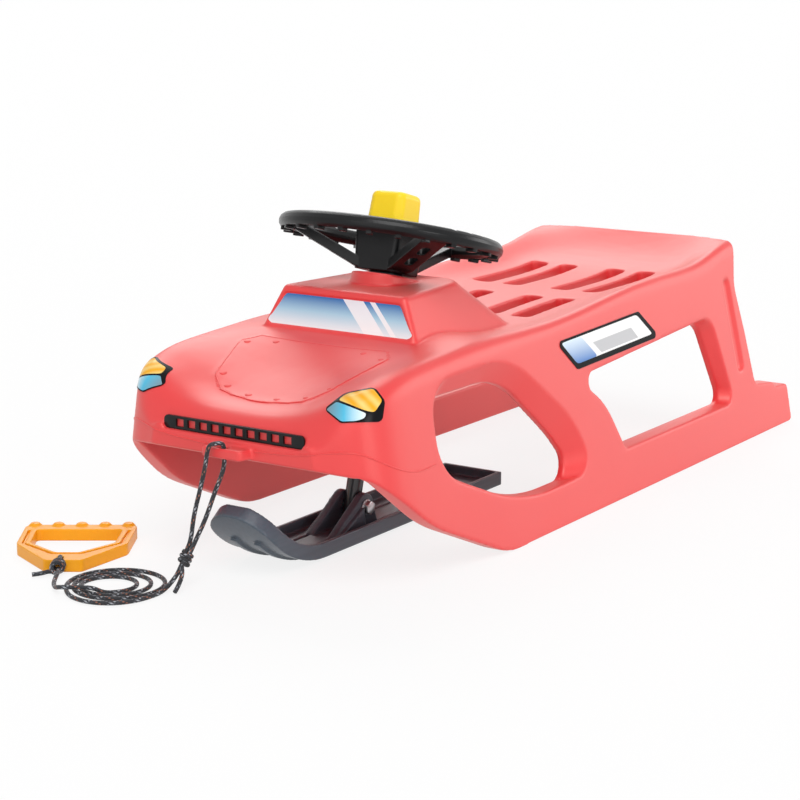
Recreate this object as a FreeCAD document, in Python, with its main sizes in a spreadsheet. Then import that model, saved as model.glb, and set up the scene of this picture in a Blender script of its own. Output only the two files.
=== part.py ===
import FreeCAD, Part
import math
import os

from FreeCAD import Placement, Rotation, Vector

# Steering sled: one blow-moulded shell on two runners, a wheel that turns a front ski
# through a leaning column, and a pull cord. Forward is -Y, the sled's left is +X.

SIZES = {
    # shell, outside
    "runner_half": 184, "nose_y": -479, "tail_y": 495, "rail_half": 138,
    "splay": 9.1, "side_wall": 23, "dish_depth": 15, "deck_wall": 15, "bumper_wall": 20,
    "bumper_sole": 121, "hood_front": 152, "hood_rear": 221, "fender_crest": 218,
    "seat_front": 210, "seat_rear": 221, "rail_front": 220, "rail_rear": 236,
    "back_top": 258, "back_y": 372, "toe_y": -275, "tail_height": 50,
    # raised cabin with the windscreen
    "cabin_y": -299, "cabin_roof": 266, "cabin_roof_half": 79, "cabin_base_half": 112,
    "screen_tilt": 15, "screen_top_half": 74, "screen_foot_half": 96, "screen_height": 39,
    "screen_recess": 2.5, "screen_lip": 3.5, "sticker": 0.5, "panel_rise": 0.9, "panel_root": 4,
    # grooves in the rear posts
    "flute_depth": 4, "flute_slope": 5,
    # seat slots
    "slot_width": 24, "slot_inner_x": 34, "slot_outer_x": 77, "slot_rear_length": 152,
    "slot_front_length": 112, "slot_rear_y": 190, "slot_front_y": 4,
    # grille and tow lug
    "grille_half": 88, "grille_low": 144, "grille_tall": 14, "grille_depth": 7, "grille_plate": 3,
    "grille_bar": 5, "lug_half": 24, "lug_reach": 16, "lug_low": 127, "lug_tall": 11, "lug_bore": 9,
    # steering column and wheel
    "pivot_y": -272, "pivot_z": 30, "column_tilt": 15, "column_dia": 18, "column_top": 288,
    "column_eye": 12, "fit_gap": 0.05, "bush_wall": 4, "bush_flange": 3, "bush_rim": 5, "bush_long": 14,
    "boss_dia": 74, "boss_top": 250, "lower_boss": 168, "collar_dia": 34, "collar_tall": 10,
    "seat_gap": 0.3, "hub_foot_half": 26.5, "hub_half": 30, "hub_top": 304, "wheel_height": 293,
    "rim_radius": 113.5, "rim_tube": 9, "rim_sides": 10, "rim_depth": 7, "rim_channel": 8, "rim_ribs": 24,
    "rib_reach": 3.5, "rib_width": 6, "rib_margin": 1.5, "spoke_half": 14, "spoke_thick": 10,
    "spoke_lift": 2.5, "grip_notch": 1.6, "grip_round": 6, "wheel_screw": 6,
    # horn
    "horn_half": 23, "horn_flange": 2.5, "horn_flange_tall": 3.5, "horn_top": 340, "horn_round": 7,
    "horn_wall": 3, "horn_travel": 6, "horn_gap": 0.5, "horn_ring": 2.5, "bellows_dia": 30,
    "bellows_bore": 18, "bellows_folds": 4,
    # front ski
    "ski_half": 39.5, "ski_tail_y": -24, "ski_flat_y": -372, "ski_nose_y": -484, "ski_nose_z": 64,
    "ski_floor": 8, "ski_edge_tall": 19, "ski_edge": 5, "ski_corner": 38, "ski_groove": 2, "ski_keel": 3,
    "keel_x": 15, "keel_width": 8, "keel_start": 40, "ear_gap": 9.4,
    "ear_thick": 9, "ear_round": 15, "ear_foot": 62, "bolt_dia": 8, "washer_dia": 17,
    "washer_thick": 1.6, "bolt_head": 13, "bolt_head_tall": 5.5,
    # pull cord and handle
    "cord_dia": 5, "knot_long": 12, "knot_bulge": 1.2, "handle_bar_half": 60, "handle_waist_half": 58,
    "handle_tip_half": 19, "handle_waist": 70, "handle_long": 129, "handle_bar": 18, "handle_band": 14,
    "handle_tip": 28, "handle_tall": 13, "handle_bumps": 5, "handle_bump": 7.5, "handle_crest": 3,
    "handle_groove": 3, "handle_web": 5.5, "handle_notch_side": 4,
}

doc = FreeCAD.newDocument("steering_sled")
sheet = doc.addObject("Spreadsheet::Sheet", "sizes")
for row, (alias, value) in enumerate(SIZES.items(), start=1):
    sheet.set(f"A{row}", alias)
    sheet.set(f"B{row}", str(value))
    sheet.setAlias(f"B{row}", alias)
doc.recompute()


def size(alias):
    return float(sheet.get(alias))


PARTS = []


def keep(label, shape):
    """A finished piece whose form is a loft, a pipe or a cut of them."""
    piece = doc.addObject("Part::Feature", label)
    piece.Label = label
    piece.Shape = shape
    PARTS.append(piece)
    return piece


def keep_object(label, piece):
    """A finished piece made of document features bound to the sheet."""
    piece.Label = label
    PARTS.append(piece)
    return piece


def bound(kind, name, placement=None, **expressions):
    """A Part primitive whose properties follow cells of the sheet."""
    made = doc.addObject(kind, name)
    for prop, expression in expressions.items():
        made.setExpression(prop, expression)
    if placement is not None:
        made.Placement = placement
    return made


def rounded_wire(corners, radii):
    """Closed polygon in the XY plane with an arc of its own radius at each corner."""
    count = len(corners)
    edges = []
    spans = []
    for i in range(count):
        here = Vector(*corners[i], 0)
        before = (Vector(*corners[i - 1], 0) - here).normalize()
        after = (Vector(*corners[(i + 1) % count], 0) - here).normalize()
        half = before.getAngle(after) / 2
        reach = radii[i] / math.tan(half)
        middle = (before + after).normalize() * (radii[i] / math.sin(half) - radii[i])
        spans.append((here + before * reach, here + middle, here + after * reach))
    for i in range(count):
        start, middle, end = spans[i]
        edges.append(Part.Arc(start, middle, end).toShape())
        edges.append(Part.LineSegment(end, spans[(i + 1) % count][0]).toShape())
    return Part.Wire(Part.__sortEdges__(edges))


def prism(wire, along):
    return Part.Face(wire).extrude(along)


def mirrored(shape):
    return shape.mirror(Vector(0, 0, 0), Vector(1, 0, 0))


# Shell: a loft of cross sections, hollowed from below and trimmed to the side outline

SLOPE = math.tan(math.radians(size("splay")))


def side_x(z):
    return size("runner_half") - SLOPE * z


def cross_section(y, shoulder_z, crest, foot, middle_z, narrow=0):
    """Closed outline across the sled: splayed sides and the curved deck, from below the sole upwards."""
    low = -10
    sole_x = side_x(low) - narrow
    shoulder = Vector(side_x(shoulder_z) - narrow, y, shoulder_z)
    corner = Vector(side_x(crest[1]) - narrow, y, crest[1])
    right = [shoulder, corner, Vector(crest[0], y, crest[1]), Vector(foot[0], y, foot[1])]
    right.append(Vector(foot[0] / 2, y, middle_z))
    left = [Vector(-p.x, p.y, p.z) for p in reversed(right)]
    deck = Part.BSplineCurve()
    deck.buildFromPoles(right + [Vector(0, y, middle_z)] + left)
    low_right = Vector(sole_x, y, low)
    low_left = Vector(-sole_x, y, low)
    return Part.Wire([
        Part.LineSegment(low_left, low_right).toShape(),
        Part.LineSegment(low_right, shoulder).toShape(),
        deck.toShape(),
        Part.LineSegment(left[-1], low_left).toShape(),
    ])


def shell_outside():
    nose = size("nose_y")
    crest = size("fender_crest")
    front = size("hood_front")
    rear = size("hood_rear")
    rail = size("rail_half")
    rail_low, rail_high = size("rail_front"), size("rail_rear")
    seat_low, seat_high = size("seat_front"), size("seat_rear")
    back = size("back_top")
    stations = [
        cross_section(nose, front - 14, (92, front - 2), (60, front), front, narrow=62),
        cross_section(nose + 12, front + 2, (104, front + 18), (70, front + 13), front + 11, narrow=32),
        cross_section(nose + 32, front + 20, (116, front + 46), (80, front + 27), front + 19, narrow=10),
        cross_section(nose + 55, crest - 32, (122, crest - 12), (82, front + 34), front + 24, narrow=2),
        cross_section(nose + 80, crest - 28, (127, crest - 6), (84, front + 42), front + 32),
        cross_section(nose + 125, crest - 24, (132, crest - 2), (88, front + 54), front + 48),
        cross_section(size("cabin_y"), crest - 21, (135, crest), (90, rear), rear),
        cross_section(-200, crest - 16, (136, crest + 2), (92, rear - 4), rear - 4),
        cross_section(-90, rail_low - 14, (rail, rail_low), (104, seat_low), seat_low),
        cross_section(60, rail_low - 4, (rail, rail_low + 11), (104, seat_low + 6), seat_low + 6),
        cross_section(210, rail_high - 18, (rail - 1, rail_high), (104, seat_high - 4), seat_high - 4),
        cross_section(290, rail_high - 14, (rail - 2, rail_high + 5), (104, seat_high + 5), seat_high + 4),
        cross_section(338, back - 25, (rail - 4, back - 8), (100, back - 15), back - 18),
        cross_section(size("back_y") + 4, back - 22, (rail - 6, back - 4), (96, back), back),
        cross_section(size("tail_y") + 4, back - 22, (rail - 6, back - 4), (96, back), back),
    ]
    return Part.makeLoft(stations, True, False)


def channel_section(y, ceiling, corner=26):
    """Outline of the open space below the deck, between the side walls."""
    wall = size("side_wall") / math.cos(math.radians(size("splay")))
    low = -20
    foot = side_x(low) - wall
    head = side_x(ceiling) - wall
    knee = side_x(ceiling - corner) - wall
    bend = corner * (1 - math.sqrt(0.5))
    right_arc = Part.Arc(Vector(knee, y, ceiling - corner), Vector(head - bend, y, ceiling - bend),
                         Vector(head - corner, y, ceiling))
    left_arc = Part.Arc(Vector(corner - head, y, ceiling), Vector(bend - head, y, ceiling - bend),
                        Vector(-knee, y, ceiling - corner))
    return Part.Wire([
        Part.LineSegment(Vector(-foot, y, low), Vector(foot, y, low)).toShape(),
        Part.LineSegment(Vector(foot, y, low), Vector(knee, y, ceiling - corner)).toShape(),
        right_arc.toShape(),
        Part.LineSegment(Vector(head - corner, y, ceiling), Vector(corner - head, y, ceiling)).toShape(),
        left_arc.toShape(),
        Part.LineSegment(Vector(-knee, y, ceiling - corner), Vector(-foot, y, low)).toShape(),
    ])


def shell_inside():
    deck = size("deck_wall")
    front = size("nose_y") + size("bumper_wall")
    stations = [
        channel_section(front, size("hood_front") + 14 - deck),
        channel_section(front + 40, size("hood_front") + 26 - deck),
        channel_section(size("cabin_y"), size("hood_rear") - 3 - deck),
        channel_section(-200, size("hood_rear") - 5 - deck),
        channel_section(-90, size("seat_front") - deck),
        channel_section(60, size("seat_front") + 6 - deck),
        channel_section(210, size("seat_rear") - 4 - deck),
        channel_section(290, size("seat_rear") + 2 - deck),
        channel_section(338, size("back_top") - 19 - deck),
        channel_section(size("back_y") + 4, size("back_top") - deck),
        channel_section(size("tail_y") + 20, size("back_top") - deck),
    ]
    return Part.makeLoft(stations, True, False)


def side_outline():
    """What the sled shows from the side, drawn as (y, z) and run right across it."""
    nose, tail, back = size("nose_y"), size("tail_y"), size("back_y")
    sole, stub = size("bumper_sole"), size("tail_height")
    clear = 80
    corners = [
        ((nose - 6, sole + 7), 8), ((-452, sole - 4), 40), ((-378, 57), 200),
        ((size("toe_y") + 28, 0), 100), ((tail, 0), 6), ((tail - 3, stub), 6),
        ((tail - 40, stub + 2), 2), ((tail - 46, stub + 9), 3), ((back + 22, stub + 16), 14),
        ((back + 7, 138), 120), ((back - 9, 198), 40), ((back + 2, 244), 20),
        ((back + 2, size("back_top") + clear), 1), ((nose - 6, size("back_top") + clear), 1),
    ]
    wire = rounded_wire([c for c, _ in corners], [r for _, r in corners])
    upright = Rotation(Vector(0, 1, 0), Vector(0, 0, 1), Vector(1, 0, 0))
    wide = size("runner_half") + 40
    wire.Placement = Placement(Vector(-wide, 0, 0), upright)
    return prism(wire, Vector(2 * wide, 0, 0))


def side_wire(corners, inset):
    """Rounded outline given as ((y, z), radius), laid on the left side wall or inset from it."""
    lean = math.radians(size("splay"))
    flat = [(y, z / math.cos(lean)) for (y, z), _ in corners]
    wire = rounded_wire(flat, [r for _, r in corners])
    up = Vector(-math.sin(lean), 0, math.cos(lean))
    out = Vector(math.cos(lean), 0, math.sin(lean))
    wire.Placement = Placement(Vector(size("runner_half"), 0, 0) - out * inset,
                               Rotation(Vector(0, 1, 0), up, out))
    return wire


def side_cut(outer, inner):
    """Opening with a dished edge: wide at the outer face, then straight through the rest of the wall."""
    beyond_wall = 2.6 * size("side_wall")
    sections = [side_wire(outer, -6), side_wire(inner, size("dish_depth")), side_wire(inner, beyond_wall)]
    return Part.makeLoft(sections, True, True)


ARCH_OUTER = [((-354, 204), 42), ((-196, 206), 150), ((-72, 116), 150), ((-40, 47), 22), ((-205, 43), 330),
              ((-356, 102), 62)]
ARCH_INNER = [((-350, 178), 28), ((-205, 178), 120), ((-110, 97), 240), ((-68, 46), 20), ((-210, 47), 320),
              ((-348, 109), 44)]
WINDOW_OUTER = [((-68, 152), 12), ((290, 172), 34), ((329, 53), 16), ((28, 53), 10), ((-8, 117), 110)]
WINDOW_INNER = [((-63, 150), 12), ((272, 167), 30), ((318, 58), 14), ((32, 58), 10), ((-4, 116), 110)]


def seat_slots():
    half = size("slot_width") / 2
    cuts = []
    for middle_y, long in ((size("slot_rear_y"), size("slot_rear_length")),
                           (size("slot_front_y"), size("slot_front_length"))):
        for x in (size("slot_inner_x"), size("slot_outer_x")):
            for side in (-1, 1):
                corners = [(side * x - half, middle_y - long / 2), (side * x + half, middle_y - long / 2),
                           (side * x + half, middle_y + long / 2), (side * x - half, middle_y + long / 2)]
                wire = rounded_wire(corners, [7, 7, 7, 7])
                wire.translate(Vector(0, 0, size("seat_front") - 4 * size("deck_wall")))
                cuts.append(prism(wire, Vector(0, 0, 8 * size("deck_wall"))))
    return cuts


def screen_point(x, along):
    """A point of the windscreen's plane, measured up the slope from its foot."""
    lean = math.radians(size("screen_tilt"))
    return Vector(x, size("cabin_y") + along * math.sin(lean), size("hood_rear") + along * math.cos(lean))


def cabin():
    """Raised block behind the hood that carries the windscreen and the steering boss."""
    lean = math.tan(math.radians(size("screen_tilt")))
    deep = size("hood_rear") - 26
    roof = size("cabin_roof")
    base_half, roof_half = size("cabin_base_half"), size("cabin_roof_half")
    base_front = size("cabin_y") + (deep - size("hood_rear")) * lean
    roof_front = size("cabin_y") + (roof - size("hood_rear")) * lean
    base = rounded_wire([(-base_half, base_front), (base_half, base_front), (base_half - 14, -56),
                         (14 - base_half, -56)], [7, 7, 40, 40])
    top = rounded_wire([(-roof_half, roof_front), (roof_half, roof_front), (roof_half - 16, -152),
                        (16 - roof_half, -152)], [6, 6, 30, 30])
    base.translate(Vector(0, 0, deep))
    top.translate(Vector(0, 0, roof))
    block = Part.makeLoft([base, top], True, True)
    rim = [edge for edge in block.Edges if edge.BoundBox.ZMin > roof - 0.01]
    return block.makeFillet(6, rim)


def screen_prism(inset, deep, thick):
    """Trapezium in the windscreen's plane, from deep below its surface, thick forwards."""
    foot, head, tall = size("screen_foot_half"), size("screen_top_half"), size("screen_height")
    low, high = size("screen_lip") + inset, tall - inset
    points = [(inset - foot, low), (foot - inset, low), (head - inset, high), (inset - head, high)]
    wire = rounded_wire(points, [4, 4, 6, 6])
    lean = math.radians(size("screen_tilt"))
    up = Vector(0, math.sin(lean), math.cos(lean))
    forward = Vector(0, -math.cos(lean), math.sin(lean))
    wire.Placement = Placement(screen_point(0, 0) - forward * deep, Rotation(Vector(1, 0, 0), up, forward))
    return prism(wire, forward * thick)


PANEL = [(81, -321), (96, -341), (74, -412), (52, -430)]


def hood_panel(outside):
    """Raised field on the hood with clipped corners, a slab that follows the hood's surface."""
    corners = PANEL + [(0, -437)] + [(-x, y) for x, y in reversed(PANEL)]
    wire = rounded_wire(corners, [4, 4, 6, 8, 150, 8, 6, 4, 4])
    field = prism(wire, Vector(0, 0, 2 * size("hood_rear")))
    slab = field.common(outside.translated(Vector(0, 0, size("panel_rise"))))
    return slab.cut(outside.translated(Vector(0, 0, -size("panel_root"))))


FLUTE = [((328, 211), 9), ((348, 211), 9), ((366, 88), 8), ((345, 88), 8)]


def post_flute():
    """Long shallow groove down the outer face of a rear post."""
    slope = size("flute_slope")
    middle_y = sum(y for (y, _), _ in FLUTE) / len(FLUTE)
    middle_z = sum(z for (_, z), _ in FLUTE) / len(FLUTE)
    inner = []
    for (y, z), radius in FLUTE:
        moved = (y + math.copysign(slope, middle_y - y), z + math.copysign(slope, middle_z - z))
        inner.append((moved, radius - slope))
    return Part.makeLoft([side_wire(FLUTE, -1), side_wire(inner, size("flute_depth"))], True, True)


# Steering axis: it starts at the ski bolt and leans back towards the rider

AXIS = Placement(Vector(0, size("pivot_y"), size("pivot_z")),
                 Rotation(Vector(1, 0, 0), -size("column_tilt")))


def on_axis(shape):
    shape.Placement = AXIS.multiply(shape.Placement)
    return shape


def axis_cylinder(radius, low, high):
    return on_axis(Part.makeCylinder(radius, high - low, Vector(0, 0, low)))


def lug_hole_y():
    return size("nose_y") - size("lug_reach") / 2 + 0.5


def lug():
    """Tow tab at the middle of the bumper, with an upright hole for the cord."""
    half, low = size("lug_half"), size("lug_low")
    tip = size("nose_y") - size("lug_reach")
    root = size("nose_y") + size("bumper_wall") / 2
    outline = rounded_wire([(-half, tip), (half, tip), (half + 6, root), (-half - 6, root)], [5, 5, 1, 1])
    outline.translate(Vector(0, 0, low))
    tab = prism(outline, Vector(0, 0, size("lug_tall")))
    hole = Part.makeCylinder(size("lug_bore") / 2, 2 * size("lug_tall"),
                             Vector(0, lug_hole_y(), low - size("lug_tall") / 2))
    tab = tab.cut(hole)
    lips = [e for e in tab.Edges if isinstance(e.Curve, Part.Circle)
            and abs(e.Curve.Radius - size("lug_bore") / 2) < 0.01 and e.isClosed()]
    return tab.makeFillet(2, lips)


def bumper_slot(inset, y_front, y_back):
    """Plain straight air intake across the bumper, with rounded ends."""
    half, low = size("grille_half") - inset, size("grille_low") + inset
    high = size("grille_low") + size("grille_tall") - inset
    wire = rounded_wire([(-half, low), (half, low), (half, high), (-half, high)], [5, 5, 5, 5])
    facing = Rotation(Vector(1, 0, 0), Vector(0, 0, 1), Vector(0, -1, 0))
    wire.Placement = Placement(Vector(0, y_back, 0), facing)
    return prism(wire, Vector(0, y_front - y_back, 0))


def bush_radius():
    return size("column_dia") / 2 + size("fit_gap") + size("bush_wall")


def body_shell(outside):
    inside = shell_inside()
    boss_foot = size("boss_top") - 40
    shell = outside.cut(inside)
    shell = shell.fuse(cabin().cut(inside)).cut(screen_prism(0, size("screen_recess"), 30))
    shell = shell.fuse(axis_cylinder(size("boss_dia") / 2, boss_foot, size("boss_top")))
    shell = shell.fuse(axis_cylinder(bush_radius() + size("bush_rim") + 2, size("lower_boss"), boss_foot))
    shell = shell.common(side_outline())
    arch = side_cut(ARCH_OUTER, ARCH_INNER)
    window = side_cut(WINDOW_OUTER, WINDOW_INNER)
    flute = post_flute()
    shell = shell.cut([arch, mirrored(arch), window, mirrored(window), flute, mirrored(flute)] + seat_slots())
    shell = shell.fuse([lug(), hood_panel(outside)])
    floor = size("nose_y") + size("grille_depth")
    shell = shell.cut(bumper_slot(0, size("nose_y") - size("lug_reach"), floor))
    return shell.cut(axis_cylinder(bush_radius() + size("fit_gap"), 0, size("boss_top") + 1))


OUTSIDE = shell_outside()
keep("body_shell", body_shell(OUTSIDE))


# Stickers and the intake's insert

keep("windscreen_sticker", screen_prism(size("seat_gap"), size("screen_recess"), size("sticker")))


def lamp_sticker():
    """Skin on the rounded front corner, cut to the outline of a headlamp."""
    out = Vector(0.57, -0.78, 0.26).normalize()
    right = Vector(out.y, -out.x, 0).normalize() * -1
    up = out.cross(right)
    corners = [(-30, -3), (-10, 13), (19, 18), (29, 4), (26, -16), (-14, -17)]
    wire = rounded_wire(corners, [4, 16, 8, 8, 6, 6])
    wire.Placement = Placement(Vector(132, -452, 190) - out * 40, Rotation(right, up, out))
    skin = OUTSIDE.translated(out * (size("seat_gap") + size("sticker")))
    return prism(wire, out * 80).common(skin).cut(OUTSIDE.translated(out * size("seat_gap")))


LAMP = lamp_sticker()
keep("left_lamp_sticker", LAMP)
keep("right_lamp_sticker", mirrored(LAMP))


def grille_insert():
    floor = size("nose_y") + size("grille_depth")
    plate = bumper_slot(size("seat_gap"), floor - size("grille_plate"), floor)
    gap = size("grille_bar") + 10
    count = int(2 * (size("grille_half") - 12) // gap)
    low = size("grille_low") + 3
    tall = size("grille_tall") - 6
    slots = []
    for i in range(count):
        x = (i - (count - 1) / 2) * gap
        slots.append(Part.makeBox(10, 2 * size("grille_plate"), tall,
                                  Vector(x - 5, floor - 1.6 * size("grille_plate"), low)))
    return plate.cut(slots)


keep("grille_insert", grille_insert())

LABEL = [((-101, 197), 5), ((95, 203), 7), ((140, 167), 5), ((-61, 161), 7)]
lean = math.radians(size("splay"))
label_out = Vector(math.cos(lean), 0, math.sin(lean))
keep("side_label", prism(side_wire(LABEL, -size("seat_gap")), label_out * size("sticker")))


# Column, its bushes and collar

def along_axis(height):
    return AXIS.multiply(Placement(Vector(0, 0, height), Rotation()))


def ring(label, outer, inner, tall, placement):
    """Washer or sleeve: one bound cylinder bored by another."""
    body = bound("Part::Cylinder", label + "_body", placement, Radius=outer, Height=tall)
    hole = bound("Part::Cylinder", label + "_hole", placement, Radius=inner, Height=tall)
    cut = doc.addObject("Part::Cut", label)
    cut.Base, cut.Tool = body, hole
    return cut


def flanged_bush(label, seat, direction):
    """Sleeve in the shell's bore with a collar on its open end, up or down the axis."""
    sleeve_at = seat - size("bush_long") if direction > 0 else seat
    flange_at = seat if direction > 0 else seat - size("bush_flange")
    bore = "sizes.column_dia / 2 + sizes.fit_gap"
    sleeve = ring(label + "_sleeve", bore + " + sizes.bush_wall", bore, "sizes.bush_long",
                  along_axis(sleeve_at))
    flange = ring(label + "_flange", bore + " + sizes.bush_wall + sizes.bush_rim", bore,
                  "sizes.bush_flange", along_axis(flange_at))
    both = doc.addObject("Part::Fuse", label)
    both.Base, both.Tool = sleeve, flange
    return keep_object(label, both)


flanged_bush("upper_column_bush", size("boss_top"), 1)
flanged_bush("lower_column_bush", size("lower_boss"), -1)

across = Rotation(Vector(0, 1, 0), 90)
eye_start = Vector(-20, size("pivot_y"), size("pivot_z"))
rod = bound("Part::Cylinder", "column_rod", along_axis(-size("column_eye")),
            Radius="sizes.column_dia / 2", Height="sizes.column_top + sizes.column_eye")
eye = bound("Part::Cylinder", "column_eye_hole", Placement(eye_start, across),
            Radius="sizes.bolt_dia / 2 + sizes.fit_gap", Height="40")
tap = bound("Part::Cylinder", "column_tapped_hole", along_axis(size("column_top") - 25),
            Radius="sizes.wheel_screw / 2 + sizes.fit_gap", Height="30")
bores = doc.addObject("Part::Fuse", "column_bores")
bores.Base, bores.Tool = eye, tap
column = doc.addObject("Part::Cut", "steering_column")
column.Base, column.Tool = rod, bores
keep_object("steering_column", column)

collar_at = size("lower_boss") - size("bush_flange") - size("seat_gap") - size("collar_tall")
collar = ring("column_collar", "sizes.collar_dia / 2", "sizes.column_dia / 2 + sizes.fit_gap",
              "sizes.collar_tall", along_axis(collar_at))
keep_object("column_collar", collar)


# Steering wheel: dished spokes carry a channel rim that is open and ribbed below

def square_wire(half, radius, height):
    wire = rounded_wire([(-half, -half), (half, -half), (half, half), (-half, half)], [radius] * 4)
    wire.translate(Vector(0, 0, height))
    return wire


def square_prism(half, radius, low, high):
    return prism(square_wire(half, radius, low), Vector(0, 0, high - low))


HUB_LOW = size("boss_top") + size("bush_flange") + size("seat_gap")
FLANGE_TOP = size("hub_top") - size("seat_gap")
FLANGE_LOW = FLANGE_TOP - size("horn_flange_tall")
WELL_FLOOR = FLANGE_LOW - size("horn_travel") - 1.2


def spoke():
    """Slotted strut from the hub's foot up to the rim, drawn as (radius, height)."""
    radius, level, foot = size("rim_radius"), size("wheel_height"), size("hub_foot_half")
    top = HUB_LOW + size("spoke_thick") + 3
    outline = [(foot - 6, HUB_LOW), (foot + 8, HUB_LOW + size("spoke_lift")), (radius - 9, level - 7),
               (radius - 3, level), (radius - 12, level + 3), (foot + 4, top), (foot - 6, top)]
    wire = Part.makePolygon([Vector(r, -size("spoke_half"), h) for r, h in outline + outline[:1]])
    strut = prism(wire, Vector(0, 2 * size("spoke_half"), 0))
    rise = level - HUB_LOW
    run = radius - foot
    lean_angle = math.degrees(math.atan2(rise, run))
    slots = []
    for share in (0.34, 0.62):
        slot = prism(rounded_wire([(-9, -5), (9, -5), (9, 5), (-9, 5)], [4.5] * 4), Vector(0, 0, 60))
        slot.translate(Vector(0, 0, -30))
        slot.rotate(Vector(0, 0, 0), Vector(0, 1, 0), -lean_angle)
        slot.translate(Vector(foot + share * run, 0, HUB_LOW + share * rise))
        slots.append(slot)
    return strut.cut(slots)


def grip_notches(radius, tube, level):
    """Finger grooves across the top of the rim, at both sides."""
    notches = []
    bend = size("grip_round")
    for side in (0, 180):
        for i in range(5):
            start = Vector(radius - 2 * tube, 0, level + tube + bend - size("grip_notch"))
            notch = Part.makeCylinder(bend, 4 * tube, start, Vector(1, 0, 0))
            notch.rotate(Vector(0, 0, 0), Vector(0, 0, 1), side + (i - 2) * 11)
            notches.append(notch)
    return notches


def rim():
    """Revolved rim: round above, flat and hollowed by a channel below, with ribs across the channel."""
    radius, tube, level = size("rim_radius"), size("rim_tube"), size("wheel_height")
    low = level - size("rim_depth")
    half = size("rim_channel") / 2
    sides = int(size("rim_sides"))
    corner = math.asin(size("rim_depth") / tube)
    profile = []
    for i in range(sides + 1):
        angle = -corner + i * (math.pi + 2 * corner) / sides
        profile.append(Vector(radius + tube * math.cos(angle), 0, level + tube * math.sin(angle)))
    for x, z in ((-half, low), (-half, level), (half, level), (half, low)):
        profile.append(Vector(radius + x, 0, z))
    hoop = Part.Face(Part.makePolygon(profile + profile[:1])).revolve(Vector(0, 0, 0), Vector(0, 0, 1), 360)
    wide, reach = size("rib_width"), size("rib_reach")
    inside = half + size("rib_margin")
    count = int(size("rim_ribs"))
    ribs = []
    for i in range(count):
        start = Vector(radius - inside, -wide / 2, low - reach)
        rib = Part.makeBox(2 * inside, wide, size("rim_depth") + reach, start)
        rib.rotate(Vector(0, 0, 0), Vector(0, 0, 1), (i + 0.5) * 360 / count)
        ribs.append(rib)
    return hoop.cut(grip_notches(radius, tube, level)).fuse(ribs)


def steering_wheel():
    foot = square_wire(size("hub_foot_half"), 7, HUB_LOW)
    head = square_wire(size("hub_half"), 7, size("hub_top"))
    hub = Part.makeLoft([foot, head], True, True)
    wheel = hub.fuse([rim()])
    for turn in (90, 210, 330):
        arm = spoke()
        arm.rotate(Vector(0, 0, 0), Vector(0, 0, 1), turn)
        wheel = wheel.fuse(arm)
    well_half = size("horn_half") + size("horn_flange") + size("horn_gap")
    well = square_prism(well_half, 6, WELL_FLOOR, size("hub_top") + 1)
    bore = Part.makeCylinder(size("column_dia") / 2 + size("fit_gap"), size("column_top") - HUB_LOW + 1,
                             Vector(0, 0, HUB_LOW - 1))
    screw_hole = Part.makeCylinder(size("wheel_screw") / 2 + 0.3, 60, Vector(0, 0, HUB_LOW))
    return on_axis(wheel.cut([well, bore, screw_hole]).removeSplitter())


keep("steering_wheel", steering_wheel())

shank = bound("Part::Cylinder", "wheel_screw_shank", along_axis(size("column_top") - 22),
              Radius="sizes.wheel_screw / 2", Height=f"{WELL_FLOOR - size('column_top') + 22} mm")
cap_head = bound("Part::Cylinder", "wheel_screw_head", along_axis(WELL_FLOOR),
                 Radius="sizes.wheel_screw * 0.9", Height="sizes.wheel_screw * 0.7")
wheel_screw = doc.addObject("Part::Fuse", "wheel_screw")
wheel_screw.Base, wheel_screw.Tool = shank, cap_head
keep_object("wheel_screw", wheel_screw)


# Horn: a hollow cap that is pressed down on a squeaker bellows

def horn_cap():
    half, wall, top = size("horn_half"), size("horn_wall"), size("horn_top")
    corner = size("horn_round") + 3
    foot = square_wire(half, corner, FLANGE_LOW)
    head = square_wire(half - 1.5, corner, top)
    block = Part.makeLoft([foot, head], True, True)
    crown = [e for e in block.Edges if e.BoundBox.ZMin > top - 0.01]
    block = block.makeFillet(size("horn_round"), crown)
    flange = square_prism(half + size("horn_flange"), 6, FLANGE_LOW, FLANGE_TOP)
    hollow = square_prism(half - wall - 1.5, corner - wall, FLANGE_LOW - 1, top - size("horn_round"))
    return on_axis(block.fuse(flange).cut(hollow).removeSplitter())


def horn_ring():
    frame = square_prism(size("hub_half") - 0.5, 6.5, size("hub_top"), size("hub_top") + size("horn_ring"))
    window = square_prism(size("horn_half") + size("horn_gap"), size("horn_round") + 3, size("hub_top") - 1,
                          size("hub_top") + size("horn_ring") + 1)
    return on_axis(frame.cut(window))


def horn_bellows():
    """Folded rubber squeaker, standing on the well's floor below the cap."""
    low, high = WELL_FLOOR, size("horn_top") - size("horn_round") - size("seat_gap")
    outer, neck, bore = size("bellows_dia") / 2, size("bellows_dia") / 2 - 4, size("bellows_bore") / 2
    folds = int(size("bellows_folds"))
    step = (high - low) / (2 * folds)
    profile = [Vector(bore, 0, low)]
    for i in range(2 * folds + 1):
        profile.append(Vector(neck if i % 2 else outer, 0, low + i * step))
    profile += [Vector(bore, 0, high), Vector(bore, 0, low)]
    return on_axis(Part.Face(Part.makePolygon(profile)).revolve(Vector(0, 0, 0), Vector(0, 0, 1), 360))


keep("horn_cap", horn_cap())
keep("horn_ring", horn_ring())
keep("horn_bellows", horn_bellows())


# Front ski with its twin ears, bolted to the column's eye

def ski_bend():
    """Radius and end angle of the upturned nose."""
    reach, rise = size("ski_flat_y") - size("ski_nose_y"), size("ski_nose_z")
    radius = (reach ** 2 + rise ** 2) / (2 * rise)
    return radius, math.asin(reach / radius)


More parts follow.
